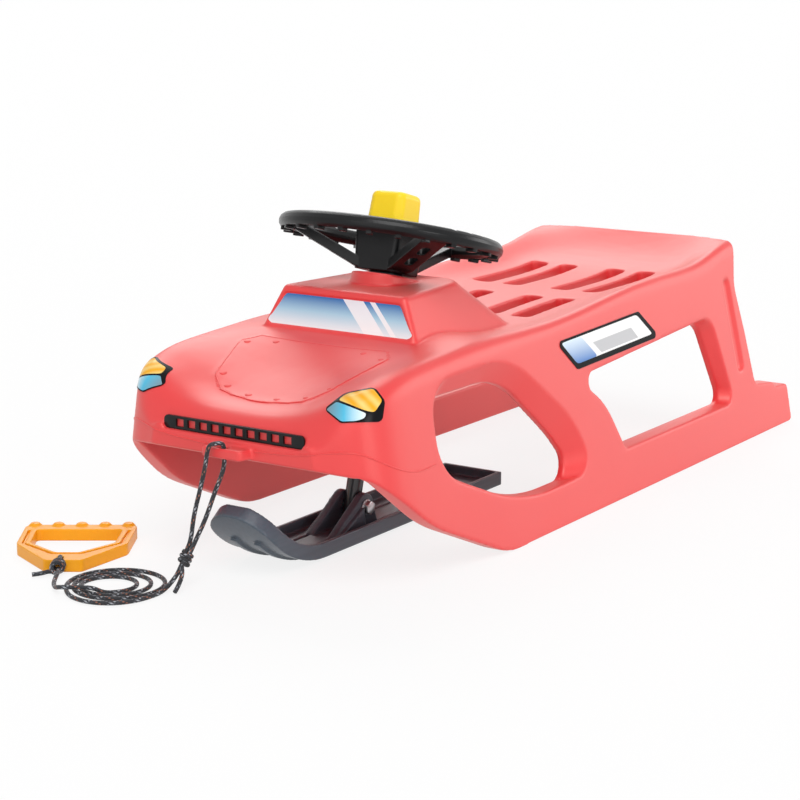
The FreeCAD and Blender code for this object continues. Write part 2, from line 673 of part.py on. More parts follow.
def ski_band(low, high, half, tail, trim=0):
    """Slice of the ski between two heights above its sole; trim shortens it at nose and tail."""
    flat_y = size("ski_flat_y")
    radius, end = ski_bend()
    end -= trim / radius
    tail -= trim

    def bend(depth, share):
        arm = radius - depth
        return Vector(-half, flat_y - arm * math.sin(share * end), radius - arm * math.cos(share * end))

    edges = [
        Part.LineSegment(Vector(-half, tail, low), bend(low, 0)),
        Part.Arc(bend(low, 0), bend(low, 0.5), bend(low, 1)),
        Part.LineSegment(bend(low, 1), bend(high, 1)),
        Part.Arc(bend(high, 1), bend(high, 0.5), bend(high, 0)),
        Part.LineSegment(bend(high, 0), Vector(-half, tail, high)),
        Part.LineSegment(Vector(-half, tail, high), Vector(-half, tail, low)),
    ]
    return prism(Part.Wire([e.toShape() for e in edges]), Vector(2 * half, 0, 0))


def ski_corners(half, trim, radius):
    """What rounds off the two corners of the nose, square to its slope."""
    slope = 0.9 * ski_bend()[1]
    seat = Placement(Vector(0, size("ski_nose_y"), size("ski_nose_z")),
                     Rotation(Vector(1, 0, 0), Vector(0, math.cos(slope), -math.sin(slope)),
                              Vector(0, math.sin(slope), math.cos(slope))))
    cuts = []
    for side in (-1, 1):
        middle = side * (half - radius)
        edge = min(middle, middle + side * (radius + 5))
        block = Part.makeBox(radius + 5, radius + trim + 20, 120, Vector(edge, -20, -50))
        block = block.cut(Part.makeCylinder(radius, 130, Vector(middle, trim + radius, -55)))
        block.Placement = seat
        cuts.append(block)
    return cuts


def ski_ear():
    """Upright plate with a round head at the bolt and a long gusset towards the nose."""
    py, pz, head = size("pivot_y"), size("pivot_z"), size("ear_round")
    floor = size("ski_floor") - 1
    outline = [(py - size("ear_foot"), floor), (py + 24, floor), (py + head * 0.95, pz),
               (py, pz + head * 0.9), (py - head * 0.7, pz + head * 0.72)]
    x = size("ear_gap")
    plate = prism(Part.makePolygon([Vector(x, y, z) for y, z in outline + outline[:1]]),
                  Vector(size("ear_thick"), 0, 0))
    plate = plate.fuse(Part.makeCylinder(head, size("ear_thick"), Vector(x, py, pz), Vector(1, 0, 0)))
    rib = [(py - size("ear_foot") + 4, floor), (py - 6, floor), (py - head * 0.6, pz + 2)]
    rib_wire = Part.makePolygon([Vector(x + size("ear_thick"), y, z) for y, z in rib + rib[:1]])
    return plate.fuse(prism(rib_wire, Vector(5, 0, 0)))


def front_ski():
    half, tail, keel = size("ski_half"), size("ski_tail_y"), size("ski_keel")
    edge, corner = size("ski_edge"), size("ski_corner")
    floor, tall = size("ski_floor"), size("ski_edge_tall")
    ski = ski_band(keel, tall, half, tail).cut(ski_corners(half, 0, corner))
    tray = ski_band(floor, tall + 1, half - edge, tail, edge)
    tray = tray.cut(ski_corners(half - edge, edge, corner - edge))
    ski = ski.cut(tray)
    for x in (-size("keel_x"), size("keel_x")):
        strip = ski_band(0, keel + 1, size("keel_width") / 2, tail - 12, size("keel_start"))
        strip.translate(Vector(x, 0, 0))
        ski = ski.fuse(strip)
    groove = size("ski_groove")
    for x in (-size("keel_x"), size("keel_x")):
        line = ski_band(floor - groove, floor + 1, groove / 2 + 0.5, tail, 40)
        line.translate(Vector(x, 0, 0))
        ski = ski.cut(line)
    ear = ski_ear()
    ski = ski.fuse([ear, mirrored(ear)])
    hole = Part.makeCylinder(size("bolt_dia") / 2 + size("fit_gap"), 4 * half,
                             Vector(-2 * half, size("pivot_y"), size("pivot_z")), Vector(1, 0, 0))
    return ski.cut(hole).removeSplitter()


keep("front_ski", front_ski())


def at_bolt(x):
    return Placement(Vector(x, size("pivot_y"), size("pivot_z")), across)


EAR_OUT = size("ear_gap") + size("ear_thick")
HEAD_AT = EAR_OUT + size("washer_thick")
clamped = "2 * (sizes.ear_gap + sizes.ear_thick + sizes.washer_thick)"
bolt_shank = bound("Part::Cylinder", "bolt_shank", at_bolt(-HEAD_AT - size("bolt_head_tall") - 3),
                   Radius="sizes.bolt_dia / 2", Height=clamped + " + sizes.bolt_head_tall + 3")
bolt_head = bound("Part::Prism", "bolt_hex", at_bolt(HEAD_AT), Circumradius="sizes.bolt_head / 1.732",
                  Height="sizes.bolt_head_tall")
bolt_head.Polygon = 6
ski_bolt = doc.addObject("Part::Fuse", "ski_bolt")
ski_bolt.Base, ski_bolt.Tool = bolt_shank, bolt_head
keep_object("ski_bolt", ski_bolt)

nut_block = bound("Part::Prism", "nut_hex", at_bolt(-HEAD_AT - size("bolt_head_tall")),
                  Circumradius="sizes.bolt_head / 1.732", Height="sizes.bolt_head_tall")
nut_block.Polygon = 6
nut_hole = bound("Part::Cylinder", "nut_hole", at_bolt(-HEAD_AT - size("bolt_head_tall")),
                 Radius="sizes.bolt_dia / 2 + sizes.fit_gap", Height="sizes.bolt_head_tall")
ski_nut = doc.addObject("Part::Cut", "ski_nut")
ski_nut.Base, ski_nut.Tool = nut_block, nut_hole
keep_object("ski_nut", ski_nut)

for side, x in (("left", EAR_OUT), ("right", -HEAD_AT)):
    label = f"{side}_ski_washer"
    keep_object(label, ring(label, "sizes.washer_dia / 2", "sizes.bolt_dia / 2 + sizes.fit_gap",
                            "sizes.washer_thick", at_bolt(x)))


# Pull cord: a loop through the lug, a knot, a free run, three loose turns and the handle

CORD = size("cord_dia") / 2
CORD_SIDES = 8


def cord_path(label, points):
    """Straight runs joined by arcs as large as the runs allow."""
    points = [Vector(*p) for p in points]
    edges = []
    start = points[0]
    radii = []
    for before, here, after in zip(points, points[1:], points[2:]):
        run_in, run_out = (before - here), (after - here)
        half = run_in.getAngle(run_out) / 2
        reach = 0.45 * min(run_in.Length, run_out.Length)
        radius = reach * math.tan(half)
        radii.append(radius)
        inward, outward = run_in.normalize(), run_out.normalize()
        middle = here + (inward + outward).normalize() * (radius / math.sin(half) - radius)
        first, last = here + inward * reach, here + outward * reach
        edges.append(Part.LineSegment(start, first).toShape())
        edges.append(Part.Arc(first, middle, last).toShape())
        start = last
    edges.append(Part.LineSegment(start, points[-1]).toShape())
    wire = Part.Wire(edges)
    print(label, "length", round(wire.Length, 1), "radii", [round(r, 1) for r in radii])
    return wire


def cord_tube(wire):
    first = wire.Edges[0]
    at = first.valueAt(first.FirstParameter)
    along = first.tangentAt(first.FirstParameter)
    corners = Part.makeCircle(CORD, at, along).discretize(CORD_SIDES + 1)
    section = Part.makePolygon(corners[:-1] + corners[:1])
    tube = wire.makePipeShell([section], True, False)
    print("  volume share", round(tube.Volume / (Part.Face(section).Area * wire.Length), 4))
    return tube


def knot(label, middle, along, radius, tail):
    """Overhand knot: two wraps with a waist between them, flat ends for its strands, and a loose end."""
    along = along.normalize()
    half = size("knot_long") / 2
    wide = radius + size("knot_bulge")
    outline = [(0, -half), (radius, -half), (wide, -0.7 * half), (wide, -0.3 * half), (radius, 0),
               (wide, 0.3 * half), (wide, 0.7 * half), (radius, half), (0, half), (0, -half)]
    profile = Part.Face(Part.makePolygon([Vector(r, 0, h) for r, h in outline]))
    body = profile.revolve(Vector(0, 0, 0), Vector(0, 0, 1), 360)
    body.Placement = Placement(middle, Rotation(Vector(0, 0, 1), along))
    return body.fuse(cord_tube(cord_path(label + " tail", tail)))


def knot_port(middle, along, side, offset, end):
    """Where a strand meets the flat end of a knot."""
    along = along.normalize()
    across = side - along * side.dot(along)
    return middle + along * (end * size("knot_long") / 2) + across.normalize() * offset


def flat(vector):
    return (vector.x, vector.y, vector.z)


KNOT, KNOT_DIR = Vector(-20, -527, 30.5), Vector(-0.12, -0.5, -0.857).normalize()
EAST = Vector(1, 0, 0)
KNOT_A = knot_port(KNOT, KNOT_DIR, EAST, -2.7, -1)
KNOT_B = knot_port(KNOT, KNOT_DIR, EAST, 2.7, -1)
KNOT_OUT = knot_port(KNOT, KNOT_DIR, EAST, -1.5, 1)

LOOP_TOP = size("lug_low") + size("lug_tall") + CORD + size("seat_gap")
LOOP_Y = lug_hole_y() - size("lug_bore") / 2 + CORD + size("seat_gap")
LOOP = [flat(KNOT_A), flat(KNOT_A - KNOT_DIR * 13), (-21, -512, 70), (-17, -505, 98),
        (-12.5, LOOP_Y - 13.5, 122), (-8, LOOP_Y - 13.5, LOOP_TOP), (0, LOOP_Y, LOOP_TOP),
        (0, LOOP_Y, LOOP_TOP - 24), (-4, -498, 96), (-9, -508, 68), flat(KNOT_B - KNOT_DIR * 13),
        flat(KNOT_B)]
keep("rope_loop", cord_tube(cord_path("rope_loop", LOOP)))
keep("rope_knot", knot("rope_knot", KNOT, KNOT_DIR, 6,
                       [(-17.6, -529, 27), (-16.6, -535.5, 17), (-15.6, -545, 6)]))


def level_arc(middle, radius, start, turn):
    """Part of a circle on the floor, from one compass angle through a quarter or half turn."""
    points = []
    for share in (0, 0.5, 1):
        angle = math.radians(start + turn * share)
        points.append(middle + Vector(math.cos(angle), math.sin(angle), 0) * radius)
    return Part.Arc(*points).toShape()


# Loose turns: half circles of falling radius that meet on one line, each a step further in
COIL_AT, COIL_TURN = Vector(-114, -598, CORD), 45.6
COIL_RADII = [49, 45.5, 38.5, 35, 28, 24.5]
COIL_ROW = Vector(math.cos(math.radians(COIL_TURN)), math.sin(math.radians(COIL_TURN)), 0)
COIL_FRONT = Vector(COIL_ROW.y, -COIL_ROW.x, 0)


def on_coil(a, b, z):
    return flat(Vector(COIL_AT.x, COIL_AT.y, z) + COIL_ROW * a + COIL_FRONT * b)


def coil_wire():
    edges = []
    place = 0
    for i, radius in enumerate(COIL_RADII):
        step = 1 if i % 2 == 0 else -1
        start = COIL_TURN + (180 if step > 0 else 0)
        last = i == len(COIL_RADII) - 1
        middle = COIL_AT + COIL_ROW * (place + step * radius)
        edges.append(level_arc(middle, radius, start, -90 if last else -180))
        place += 2 * step * radius
    return Part.Wire(edges), middle


TURNS, COIL_HEART = coil_wire()
keep("cord_coil", cord_tube(TURNS))

RUN = [flat(KNOT_OUT), flat(KNOT_OUT + KNOT_DIR * 13), (-27, -552, CORD), (-26, -573, CORD),
       (-31, -594, CORD), (-45, -611, CORD), (-66, -619.5, CORD), (-88, -617, CORD),
       on_coil(0, 14, CORD), flat(COIL_AT)]
keep("pull_cord", cord_tube(cord_path("pull_cord", RUN)))


# Handle: a flat grip with a fluted bar; the cord goes round the web between its notch and slot

HANDLE = Placement(Vector(-229, -449, 0), Rotation(Vector(0, 0, 1), -56.1))
WEB_IN = size("handle_long") - size("handle_web")
NOTCH = -size("handle_notch_side")
FOLD_LOW = CORD + size("seat_gap")
FOLD_HIGH = FOLD_LOW + 2 * size("cord_dia") / 0.9
WEB_LOW = FOLD_LOW + CORD + size("seat_gap")
WEB_HIGH = FOLD_HIGH - CORD - size("seat_gap")


def on_handle(x, y, z):
    return HANDLE.multVec(Vector(x, y, z))


def handle_outline(inset, bar, tip, radii):
    """Outline of the grip, or of a line a given way inside it."""
    rear, front = size("handle_bar_half"), size("handle_waist_half")
    corners = [(bar, inset - rear), (size("handle_waist") - inset / 4, inset - front),
               (size("handle_long") - tip, inset / 2 - size("handle_tip_half"))]
    corners += [(x, -y) for x, y in reversed(corners)]
    return rounded_wire(corners, radii)


def pull_handle():
    tall, band, groove = size("handle_tall"), size("handle_band"), size("handle_groove")
    up = Vector(0, 0, tall)
    grip = prism(handle_outline(0, 0, 0, [10, 14, 5, 5, 14, 10]), up)
    count = int(size("handle_bumps"))
    pitch = 2 * (size("handle_bar_half") - 10) / (count - 1)
    for i in range(count):
        at = Vector(3, (i - (count - 1) / 2) * pitch, 0)
        lump = Part.makeCone(size("handle_bump"), 0.6 * size("handle_bump"), size("handle_crest"), at + up)
        grip = grip.fuse([Part.makeCylinder(size("handle_bump"), tall, at), lump])
    bar, tip = size("handle_bar"), size("handle_tip")
    grip = grip.cut(prism(handle_outline(band, bar, tip, [5, 8, 5, 5, 8, 5]), up))
    side = (band - groove) / 2
    outer = prism(handle_outline(side, bar + 2, tip - 6, [2, 8, 3, 3, 8, 2]), up)
    inner = prism(handle_outline(band - side, bar - 2, tip - 2, [2, 8, 3, 3, 8, 2]), up)
    channel = outer.cut(inner)
    channel.translate(Vector(0, 0, tall - groove))
    grip = grip.cut(channel)
    width = size("cord_dia") + 2
    slot = rounded_wire([(WEB_IN - width - 1, NOTCH - width / 2), (WEB_IN, NOTCH - width / 2),
                         (WEB_IN, NOTCH + width / 2), (WEB_IN - width - 1, NOTCH + width / 2)], [3, 1, 1, 3])
    slot = prism(slot, up)
    below = Part.makeBox(size("handle_web") + 5, width, WEB_LOW, Vector(WEB_IN - 1, NOTCH - width / 2, 0))
    above = Part.makeBox(size("handle_web") + 5, width, tall, Vector(WEB_IN - 1, NOTCH - width / 2, WEB_HIGH))
    grip = grip.cut([slot, below, above]).removeSplitter()
    grip.Placement = HANDLE
    return grip


keep("pull_handle", pull_handle())

KNOT_FACE = size("handle_long") + size("seat_gap")
TURN_AT = WEB_IN - size("cord_dia")
FOLD = [(KNOT_FACE, FOLD_HIGH), (TURN_AT, FOLD_HIGH), (TURN_AT, FOLD_LOW), (KNOT_FACE, FOLD_LOW)]
BIGHT = [flat(on_handle(x, NOTCH, z)) for x, z in FOLD]
keep("handle_bight", cord_tube(cord_path("handle_bight", BIGHT)))

KNOT_Z = (FOLD_HIGH + FOLD_LOW) / 2
HANDLE_DIR = HANDLE.Rotation.multVec(Vector(1, 0, 0))
HANDLE_KNOT = on_handle(KNOT_FACE + size("knot_long") / 2, NOTCH, KNOT_Z)
LEAD_END = on_handle(KNOT_FACE + size("knot_long"), NOTCH + 2, KNOT_Z - 3)
KNOT_REACH = KNOT_Z - size("knot_bulge") - size("seat_gap")
LOOSE_END = [flat(HANDLE_KNOT - Vector(2, 2, 3)), (-163, -579, 3.4), (-171, -586, CORD + 0.3)]
keep("handle_knot", knot("handle_knot", HANDLE_KNOT, HANDLE_DIR, KNOT_REACH, LOOSE_END))

LEAD = [flat(COIL_HEART + COIL_FRONT * COIL_RADII[-1]), on_coil(36, 24.5, CORD), on_coil(26.3, 24.5, 8.5),
        on_coil(11, 23, 9.6), on_coil(-6, 16, 8.8), (-122, -605, 3.4), (-135, -593, CORD + 0.3),
        flat(LEAD_END + HANDLE_DIR * 13), flat(LEAD_END)]
LEAD_WIRE = cord_path("handle_lead", LEAD)
keep("handle_lead", cord_tube(LEAD_WIRE))


def spread(wire, step=1.5):
    return wire.discretize(Distance=step)


def least_gap(points, others, skip=0):
    """Closest distance between cord faces, leaving out neighbours along one cord."""
    best = 1e9
    for i, p in enumerate(points):
        for q in others[i + skip:] if skip else others:
            best = min(best, p.distanceToPoint(q))
    return best - size("cord_dia")


print("cord_coil gap to itself", round(least_gap(spread(TURNS), spread(TURNS), 40), 2))
print("handle_lead gap to coil", round(least_gap(spread(LEAD_WIRE)[12:], spread(TURNS)), 2))

doc.recompute()
failed = [o.Name for o in doc.Objects if {"Invalid", "Error"} & set(o.State)]
for piece in PARTS:
    if piece.Shape.isNull() or not piece.Shape.isValid():
        failed.append(piece.Label)
if failed:
    raise RuntimeError("failed: " + ", ".join(failed))

os.makedirs("parts", exist_ok=True)
for piece in PARTS:
    piece.Shape.exportStep(f"parts/{piece.Label}.step")
    print(piece.Label, "volume", round(piece.Shape.Volume), "solids", len(piece.Shape.Solids))
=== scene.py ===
import math

import bpy
from mathutils import Matrix, Vector


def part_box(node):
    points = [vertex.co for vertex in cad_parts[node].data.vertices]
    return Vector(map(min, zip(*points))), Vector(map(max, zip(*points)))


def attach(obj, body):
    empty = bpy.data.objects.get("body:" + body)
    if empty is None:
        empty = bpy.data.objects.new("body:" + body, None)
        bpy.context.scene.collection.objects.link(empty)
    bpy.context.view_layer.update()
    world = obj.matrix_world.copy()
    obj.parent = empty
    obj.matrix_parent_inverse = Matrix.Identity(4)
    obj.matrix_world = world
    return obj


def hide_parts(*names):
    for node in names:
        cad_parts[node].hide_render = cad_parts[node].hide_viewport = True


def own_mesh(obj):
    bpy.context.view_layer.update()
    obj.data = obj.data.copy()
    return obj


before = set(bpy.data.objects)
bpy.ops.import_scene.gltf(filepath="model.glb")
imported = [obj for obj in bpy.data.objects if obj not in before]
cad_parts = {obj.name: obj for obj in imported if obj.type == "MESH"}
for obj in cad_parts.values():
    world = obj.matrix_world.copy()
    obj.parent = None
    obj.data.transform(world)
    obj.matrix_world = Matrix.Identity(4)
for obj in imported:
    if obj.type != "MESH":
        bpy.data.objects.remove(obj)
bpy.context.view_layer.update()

# Studio: a white floor that carries on to the horizon, a large soft light above the sled's left front,
# four weaker ones behind, beside and before it, and a long lens that looks down on its left front corner.


def linear(hex_colour):
    """Linear RGBA of an sRGB colour written as six hex digits."""
    parts = [int(hex_colour[i:i + 2], 16) / 255 for i in (0, 2, 4)]
    return tuple(c / 12.92 if c <= 0.04045 else ((c + 0.055) / 1.055) ** 2.4 for c in parts) + (1.0,)


def add(tree, kind, inputs, **properties):
    """Adds a shader node; an input is linked where its value is a socket and set where it is not."""
    node = tree.nodes.new("ShaderNode" + kind)
    for name, value in properties.items():
        setattr(node, name, value)
    for name, value in inputs.items():
        if isinstance(value, bpy.types.NodeSocket):
            tree.links.new(value, node.inputs[name])
        else:
            node.inputs[name].default_value = value
    return node


def finish_of(name, **constants):
    """A new material with its shader's even values set; returns it, its tree and its shader."""
    material = bpy.data.materials.new(name)
    material.use_nodes = True
    shader = material.node_tree.nodes["Principled BSDF"]
    for socket, value in constants.items():
        shader.inputs[socket.replace("_", " ")].default_value = value
    return material, material.node_tree, shader


def pick(piece):
    bpy.ops.object.select_all(action="DESELECT")
    piece.select_set(True)
    bpy.context.view_layer.objects.active = piece


def seen_plainly(tree):
    """One for rays from the camera, from a reflection or through glass, else nought."""
    ray = add(tree, "LightPath", {}).outputs
    plain = add(tree, "Math", {0: ray["Is Camera Ray"], 1: ray["Is Glossy Ray"]}, operation="MAXIMUM")
    plain = add(tree, "Math", {0: plain.outputs[0], 1: ray["Is Transmission Ray"]}, operation="MAXIMUM")
    return plain.outputs[0]


FLOOR_SPAN = 80.0
SHADOW_KEPT = 0.17
SKY_LIGHT = 0.35

bpy.ops.object.select_all(action="DESELECT")
bpy.ops.mesh.primitive_plane_add(size=FLOOR_SPAN, location=(0, 0, 0))
floor = bpy.context.object
floor.name = "studio_floor"
# Matt white paper, which glows where it is seen, so that it meets the white horizon without an edge.
paper, tree, shader = finish_of("matt white paper", Base_Color=linear("fbfbfb"), Roughness=0.9,
                                Specular_IOR_Level=0.1)
veil = add(tree, "Math", {0: seen_plainly(tree), 1: 1 - SHADOW_KEPT}, operation="MULTIPLY")
glow = add(tree, "Emission", {"Color": (1, 1, 1, 1), "Strength": 1.0})
both = add(tree, "MixShader", {0: veil.outputs[0], 1: shader.outputs[0], 2: glow.outputs[0]})
tree.links.new(both.outputs[0], tree.nodes["Material Output"].inputs["Surface"])
floor.data.materials.append(paper)

world = bpy.data.worlds.new("studio")
bpy.context.scene.world = world
world.use_nodes = True
tree = world.node_tree
tree.nodes["Background"].inputs["Color"].default_value = (1, 1, 1, 1)
level = add(tree, "Math", {0: seen_plainly(tree), 1: 1 - SKY_LIGHT, 2: SKY_LIGHT}, operation="MULTIPLY_ADD")
tree.links.new(level.outputs[0], tree.nodes["Background"].inputs["Strength"])

for name, strength, spread, source in (
        ("key", 1.45, 36, (0.40, -0.40, 0.82)),
        ("back", 0.9, 34, (-0.46, 0.62, 0.63)),
        ("side", 0.75, 32, (0.60, 0.79, 0.10)),
        ("corner", 0.55, 20, (0.95, -0.28, 0.10)),
        ("front", 0.5, 50, (0.25, -0.90, 0.28))):
    lamp = bpy.data.lights.new(name, "SUN")
    lamp.energy = strength
    lamp.angle = math.radians(spread)
    holder = bpy.data.objects.new(name, lamp)
    holder.rotation_euler = Vector(source).to_track_quat("Z", "Y").to_euler()
    bpy.context.collection.objects.link(holder)

lens = bpy.data.cameras.new("camera")
lens.lens = 89.19
lens.sensor_width = 36
lens.clip_end = 200
camera = bpy.data.objects.new("camera", lens)
camera.location = (1.1963, -1.9591, 0.6040)
camera.rotation_euler = (math.radians(77.5), 0, math.radians(33.9))
bpy.context.collection.objects.link(camera)
bpy.context.scene.camera = camera
bpy.context.scene.view_settings.view_transform = "Standard"


# Shell: one blow moulding of coral-red polyethylene, hollow between its skins, so every edge of it
# is round. It is taken from the solid, given soft edges and carries the rest of the sled.


def apply_modifier(piece, kind, **settings):
    pick(piece)
    modifier = piece.modifiers.new(kind.lower(), kind)
    for name, value in settings.items():
        setattr(modifier, name, value)
    bpy.ops.object.modifier_apply(modifier=modifier.name)


def solid_copy(name, node):
    """A piece of its own with the merged mesh of a CAD node."""
    piece = bpy.data.objects.new(name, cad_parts[node].data.copy())
    piece.data.materials.clear()
    bpy.context.collection.objects.link(piece)
    pick(piece)
    bpy.ops.object.mode_set(mode="EDIT")
    bpy.ops.mesh.select_all(action="SELECT")
    bpy.ops.mesh.remove_doubles(threshold=0.00001)
    bpy.ops.object.mode_set(mode="OBJECT")
    return piece


def moulded(name, node, fineness, passes):
    """A CAD node's shape with the soft edges of a moulding: fine even faces, smoothed."""
    piece = solid_copy(name, node)
    apply_modifier(piece, "REMESH", mode="SHARP", octree_depth=fineness, scale=0.95, sharpness=1.0,
                   use_remove_disconnected=False, use_smooth_shade=True)
    apply_modifier(piece, "SMOOTH", factor=0.5, iterations=passes)
    pick(piece)
    bpy.ops.object.shade_smooth()
    return piece


def eased(name, node, width):
    """A CAD node's own shape with its hard edges broken and its round faces shaded smooth."""
    piece = solid_copy(name, node)
    bpy.ops.object.mode_set(mode="EDIT")
    bpy.ops.mesh.select_all(action="SELECT")
    bpy.ops.mesh.dissolve_limited(angle_limit=math.radians(1))
    bpy.ops.object.mode_set(mode="OBJECT")
    apply_modifier(piece, "BEVEL", width=width, segments=2, limit_method="ANGLE",
                   angle_limit=math.radians(40))
    pick(piece)
    bpy.ops.object.shade_smooth_by_angle(angle=math.radians(35))
    return piece


def fit(piece, body, slot, material, *nodes):
    """Fixes a finished piece to its body, in the place of the CAD nodes that it stands for."""
    piece.data.materials.clear()
    piece.data.materials.append(material)
    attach(piece, body)
    if nodes:
        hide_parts(*nodes)


def noise(tree, scale, detail):
    """A cloudy field from nought to one, fixed to the piece."""
    place = add(tree, "TexCoord", {})
    field = add(tree, "TexNoise", {"Vector": place.outputs["Object"], "Scale": scale, "Detail": detail})
    return field.outputs["Fac"]


def mottled(tree, shader, share, dark, light):
    """Lets a finish wander between two tones by a field from nought to one."""
    tone = add(tree, "Mix", {0: share, 6: linear(dark), 7: linear(light)}, data_type="RGBA")
    tree.links.new(tone.outputs[2], shader.inputs["Base Color"])


def grained(tree, shader, height, strength, depth):
    """Gives a finish a fine relief by a field from nought to one."""
    relief = add(tree, "Bump", {"Height": height, "Strength": strength, "Distance": depth})
    tree.links.new(relief.outputs[0], shader.inputs["Normal"])


# High-density polyethylene, blown against a blasted mould: satin, with a fine orange-peel grain
# and slow clouds where the wall is thinner and lets more light through.
PEEL_SIZE = 0.0016
CLOUD_SIZE = 0.14
shell_red, tree, shader = finish_of(
    "blow-moulded polyethylene", Roughness=0.42, IOR=1.54, Specular_IOR_Level=0.75,
    Specular_Tint=linear("fff4e8"), Sheen_Weight=0.15, Sheen_Roughness=0.5, Sheen_Tint=linear("ffe6d0"))
mottled(tree, shader, noise(tree, 1 / CLOUD_SIZE, 2.0), "df2d35", "e5363a")
grained(tree, shader, noise(tree, 1 / PEEL_SIZE, 3.0), 0.12, 0.0003)

HOOD_HALF = 0.118
HOOD_FRONT, HOOD_REAR = -0.458, -0.309
FACING_UP = 0.5
HOOD_PASSES = 60
SHELL_FACES_KEPT = 0.075

shell = moulded("sled_shell", "body_shell", fineness=10, passes=40)
hood = shell.vertex_groups.new(name="hood")
on_hood = [vertex.index for vertex in shell.data.vertices
           if abs(vertex.co.x) < HOOD_HALF and HOOD_FRONT < vertex.co.y < HOOD_REAR
           and vertex.normal.z > FACING_UP]
hood.add(on_hood, 1.0, "REPLACE")
apply_modifier(shell, "SMOOTH", factor=0.5, iterations=HOOD_PASSES, vertex_group="hood")
shell.vertex_groups.clear()
apply_modifier(shell, "DECIMATE", ratio=SHELL_FACES_KEPT)
bpy.ops.object.shade_smooth()
fit(shell, "sled", "shell_red", shell_red, "body_shell")

# Parting line: a fine ridge where the halves of the mould met, round the bumper under the intake and
# back along each side to the arch.
RIDGE_RADIUS = 0.0008


def smooth_line(points):
    """Points along the line that has these points as its control points."""
    route = bpy.data.curves.new("route", "CURVE")
    route.dimensions = "3D"
    route.resolution_u = 16
    spline = route.splines.new("NURBS")
    spline.points.add(len(points) - 1)
    for control, point in zip(spline.points, points):
        control.co = (*point, 1)
    spline.order_u = 3
    spline.use_endpoint_u = True
    carrier = bpy.data.objects.new("route", route)
    bpy.context.collection.objects.link(carrier)
    bpy.context.view_layer.update()
    line = bpy.data.meshes.new_from_object(carrier)
    found = [vertex.co.copy() for vertex in line.vertices]
    bpy.data.objects.remove(carrier)
    bpy.data.curves.remove(route)
    bpy.data.meshes.remove(line)
    return found


def ridge(name, line, radius):
    """A thin round bead along a line, as one mesh."""
    bead = bpy.data.curves.new(name, "CURVE")
    bead.dimensions = "3D"
    bead.bevel_depth = radius
    bead.bevel_resolution = 2
    bead.use_fill_caps = True
    spline = bead.splines.new("POLY")
    spline.points.add(len(line) - 1)
    for control, point in zip(spline.points, line):
        control.co = (*point, 1)
    piece = bpy.data.objects.new(name, bead)
    bpy.context.collection.objects.link(piece)
    pick(piece)
    bpy.ops.object.convert(target="MESH")
    bpy.ops.object.shade_smooth()
    return bpy.context.object


ridge_points = [
    (0.030, -0.479, 0.1360), (0.060, -0.479, 0.1372), (0.088, -0.478, 0.1400), (0.110, -0.474, 0.1440),
    (0.130, -0.466, 0.1458), (0.143, -0.457, 0.1440), (0.150, -0.449, 0.1390), (0.157, -0.438, 0.1325),
    (0.162, -0.424, 0.1252), (0.165, -0.404, 0.1182), (0.166, -0.386, 0.1158), (0.165, -0.362, 0.1172),
]
for name, side in (("left_parting_line", 1), ("right_parting_line", -1)):
    line = smooth_line([(side * x, y, z) for x, y, z in ridge_points])
    parting = ridge(name, [shell.closest_point_on_mesh(point)[1] for point in line], RIDGE_RADIUS)
    fit(parting, "sled", "shell_red", shell_red)

# Hood panel: a raised field on the hood with a bowed front edge, clipped corners and a fine bead round
# it, moulded with the shell, and ten half-moon bumps like rivet heads along its edge.
PANEL_RISE = 0.0004
PANEL_WALL = 0.0022
PANEL_EASE = 0.0004
PANEL_MIDDLE = Vector((0, -0.378))
PANEL_SPAN = (0.21, 0.138)
ABOVE_HOOD = 0.30
RAYS_FROM = 0.4
DOWN = Vector((0, 0, -1))
panel_half = [(0.0798, -0.3222), (0.0945, -0.3414), (0.0728, -0.4111), (0.0512, -0.4286)]
panel_edge = panel_half + [(0, -0.4356)] + [(-x, y) for x, y in reversed(panel_half)]

bpy.ops.object.select_all(action="DESELECT")
bpy.ops.mesh.primitive_grid_add(x_subdivisions=70, y_subdivisions=46, size=1)
panel = bpy.context.object
panel.name = "hood_panel"
panel.data.transform(Matrix.Translation((*PANEL_MIDDLE, ABOVE_HOOD)) @ Matrix.Diagonal((*PANEL_SPAN, 1, 1)))
bpy.ops.object.mode_set(mode="EDIT")
for (x0, y0), (x1, y1) in zip(panel_edge, panel_edge[1:] + panel_edge[:1]):
    bpy.ops.mesh.select_all(action="SELECT")
    bpy.ops.mesh.bisect(plane_co=(x0, y0, 0), plane_no=(y0 - y1, x1 - x0, 0), clear_outer=True)
bpy.ops.object.mode_set(mode="OBJECT")
apply_modifier(panel, "SHRINKWRAP", target=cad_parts["body_shell"], wrap_method="PROJECT",
               use_project_z=True, use_negative_direction=True, use_positive_direction=False,
               offset=PANEL_RISE)
apply_modifier(panel, "SOLIDIFY", thickness=PANEL_WALL, offset=-1)
apply_modifier(panel, "BEVEL", width=PANEL_EASE, segments=2, limit_method="ANGLE",
               angle_limit=math.radians(50))
pick(panel)
bpy.ops.object.shade_smooth_by_angle(angle=math.radians(40))
fit(panel, "sled", "shell_red", shell_red)

BEAD_RADIUS = 0.0009
BEAD_SUNK = 0.0005
BEAD_INSET = 0.995
POINTS_ON_EDGE = 24
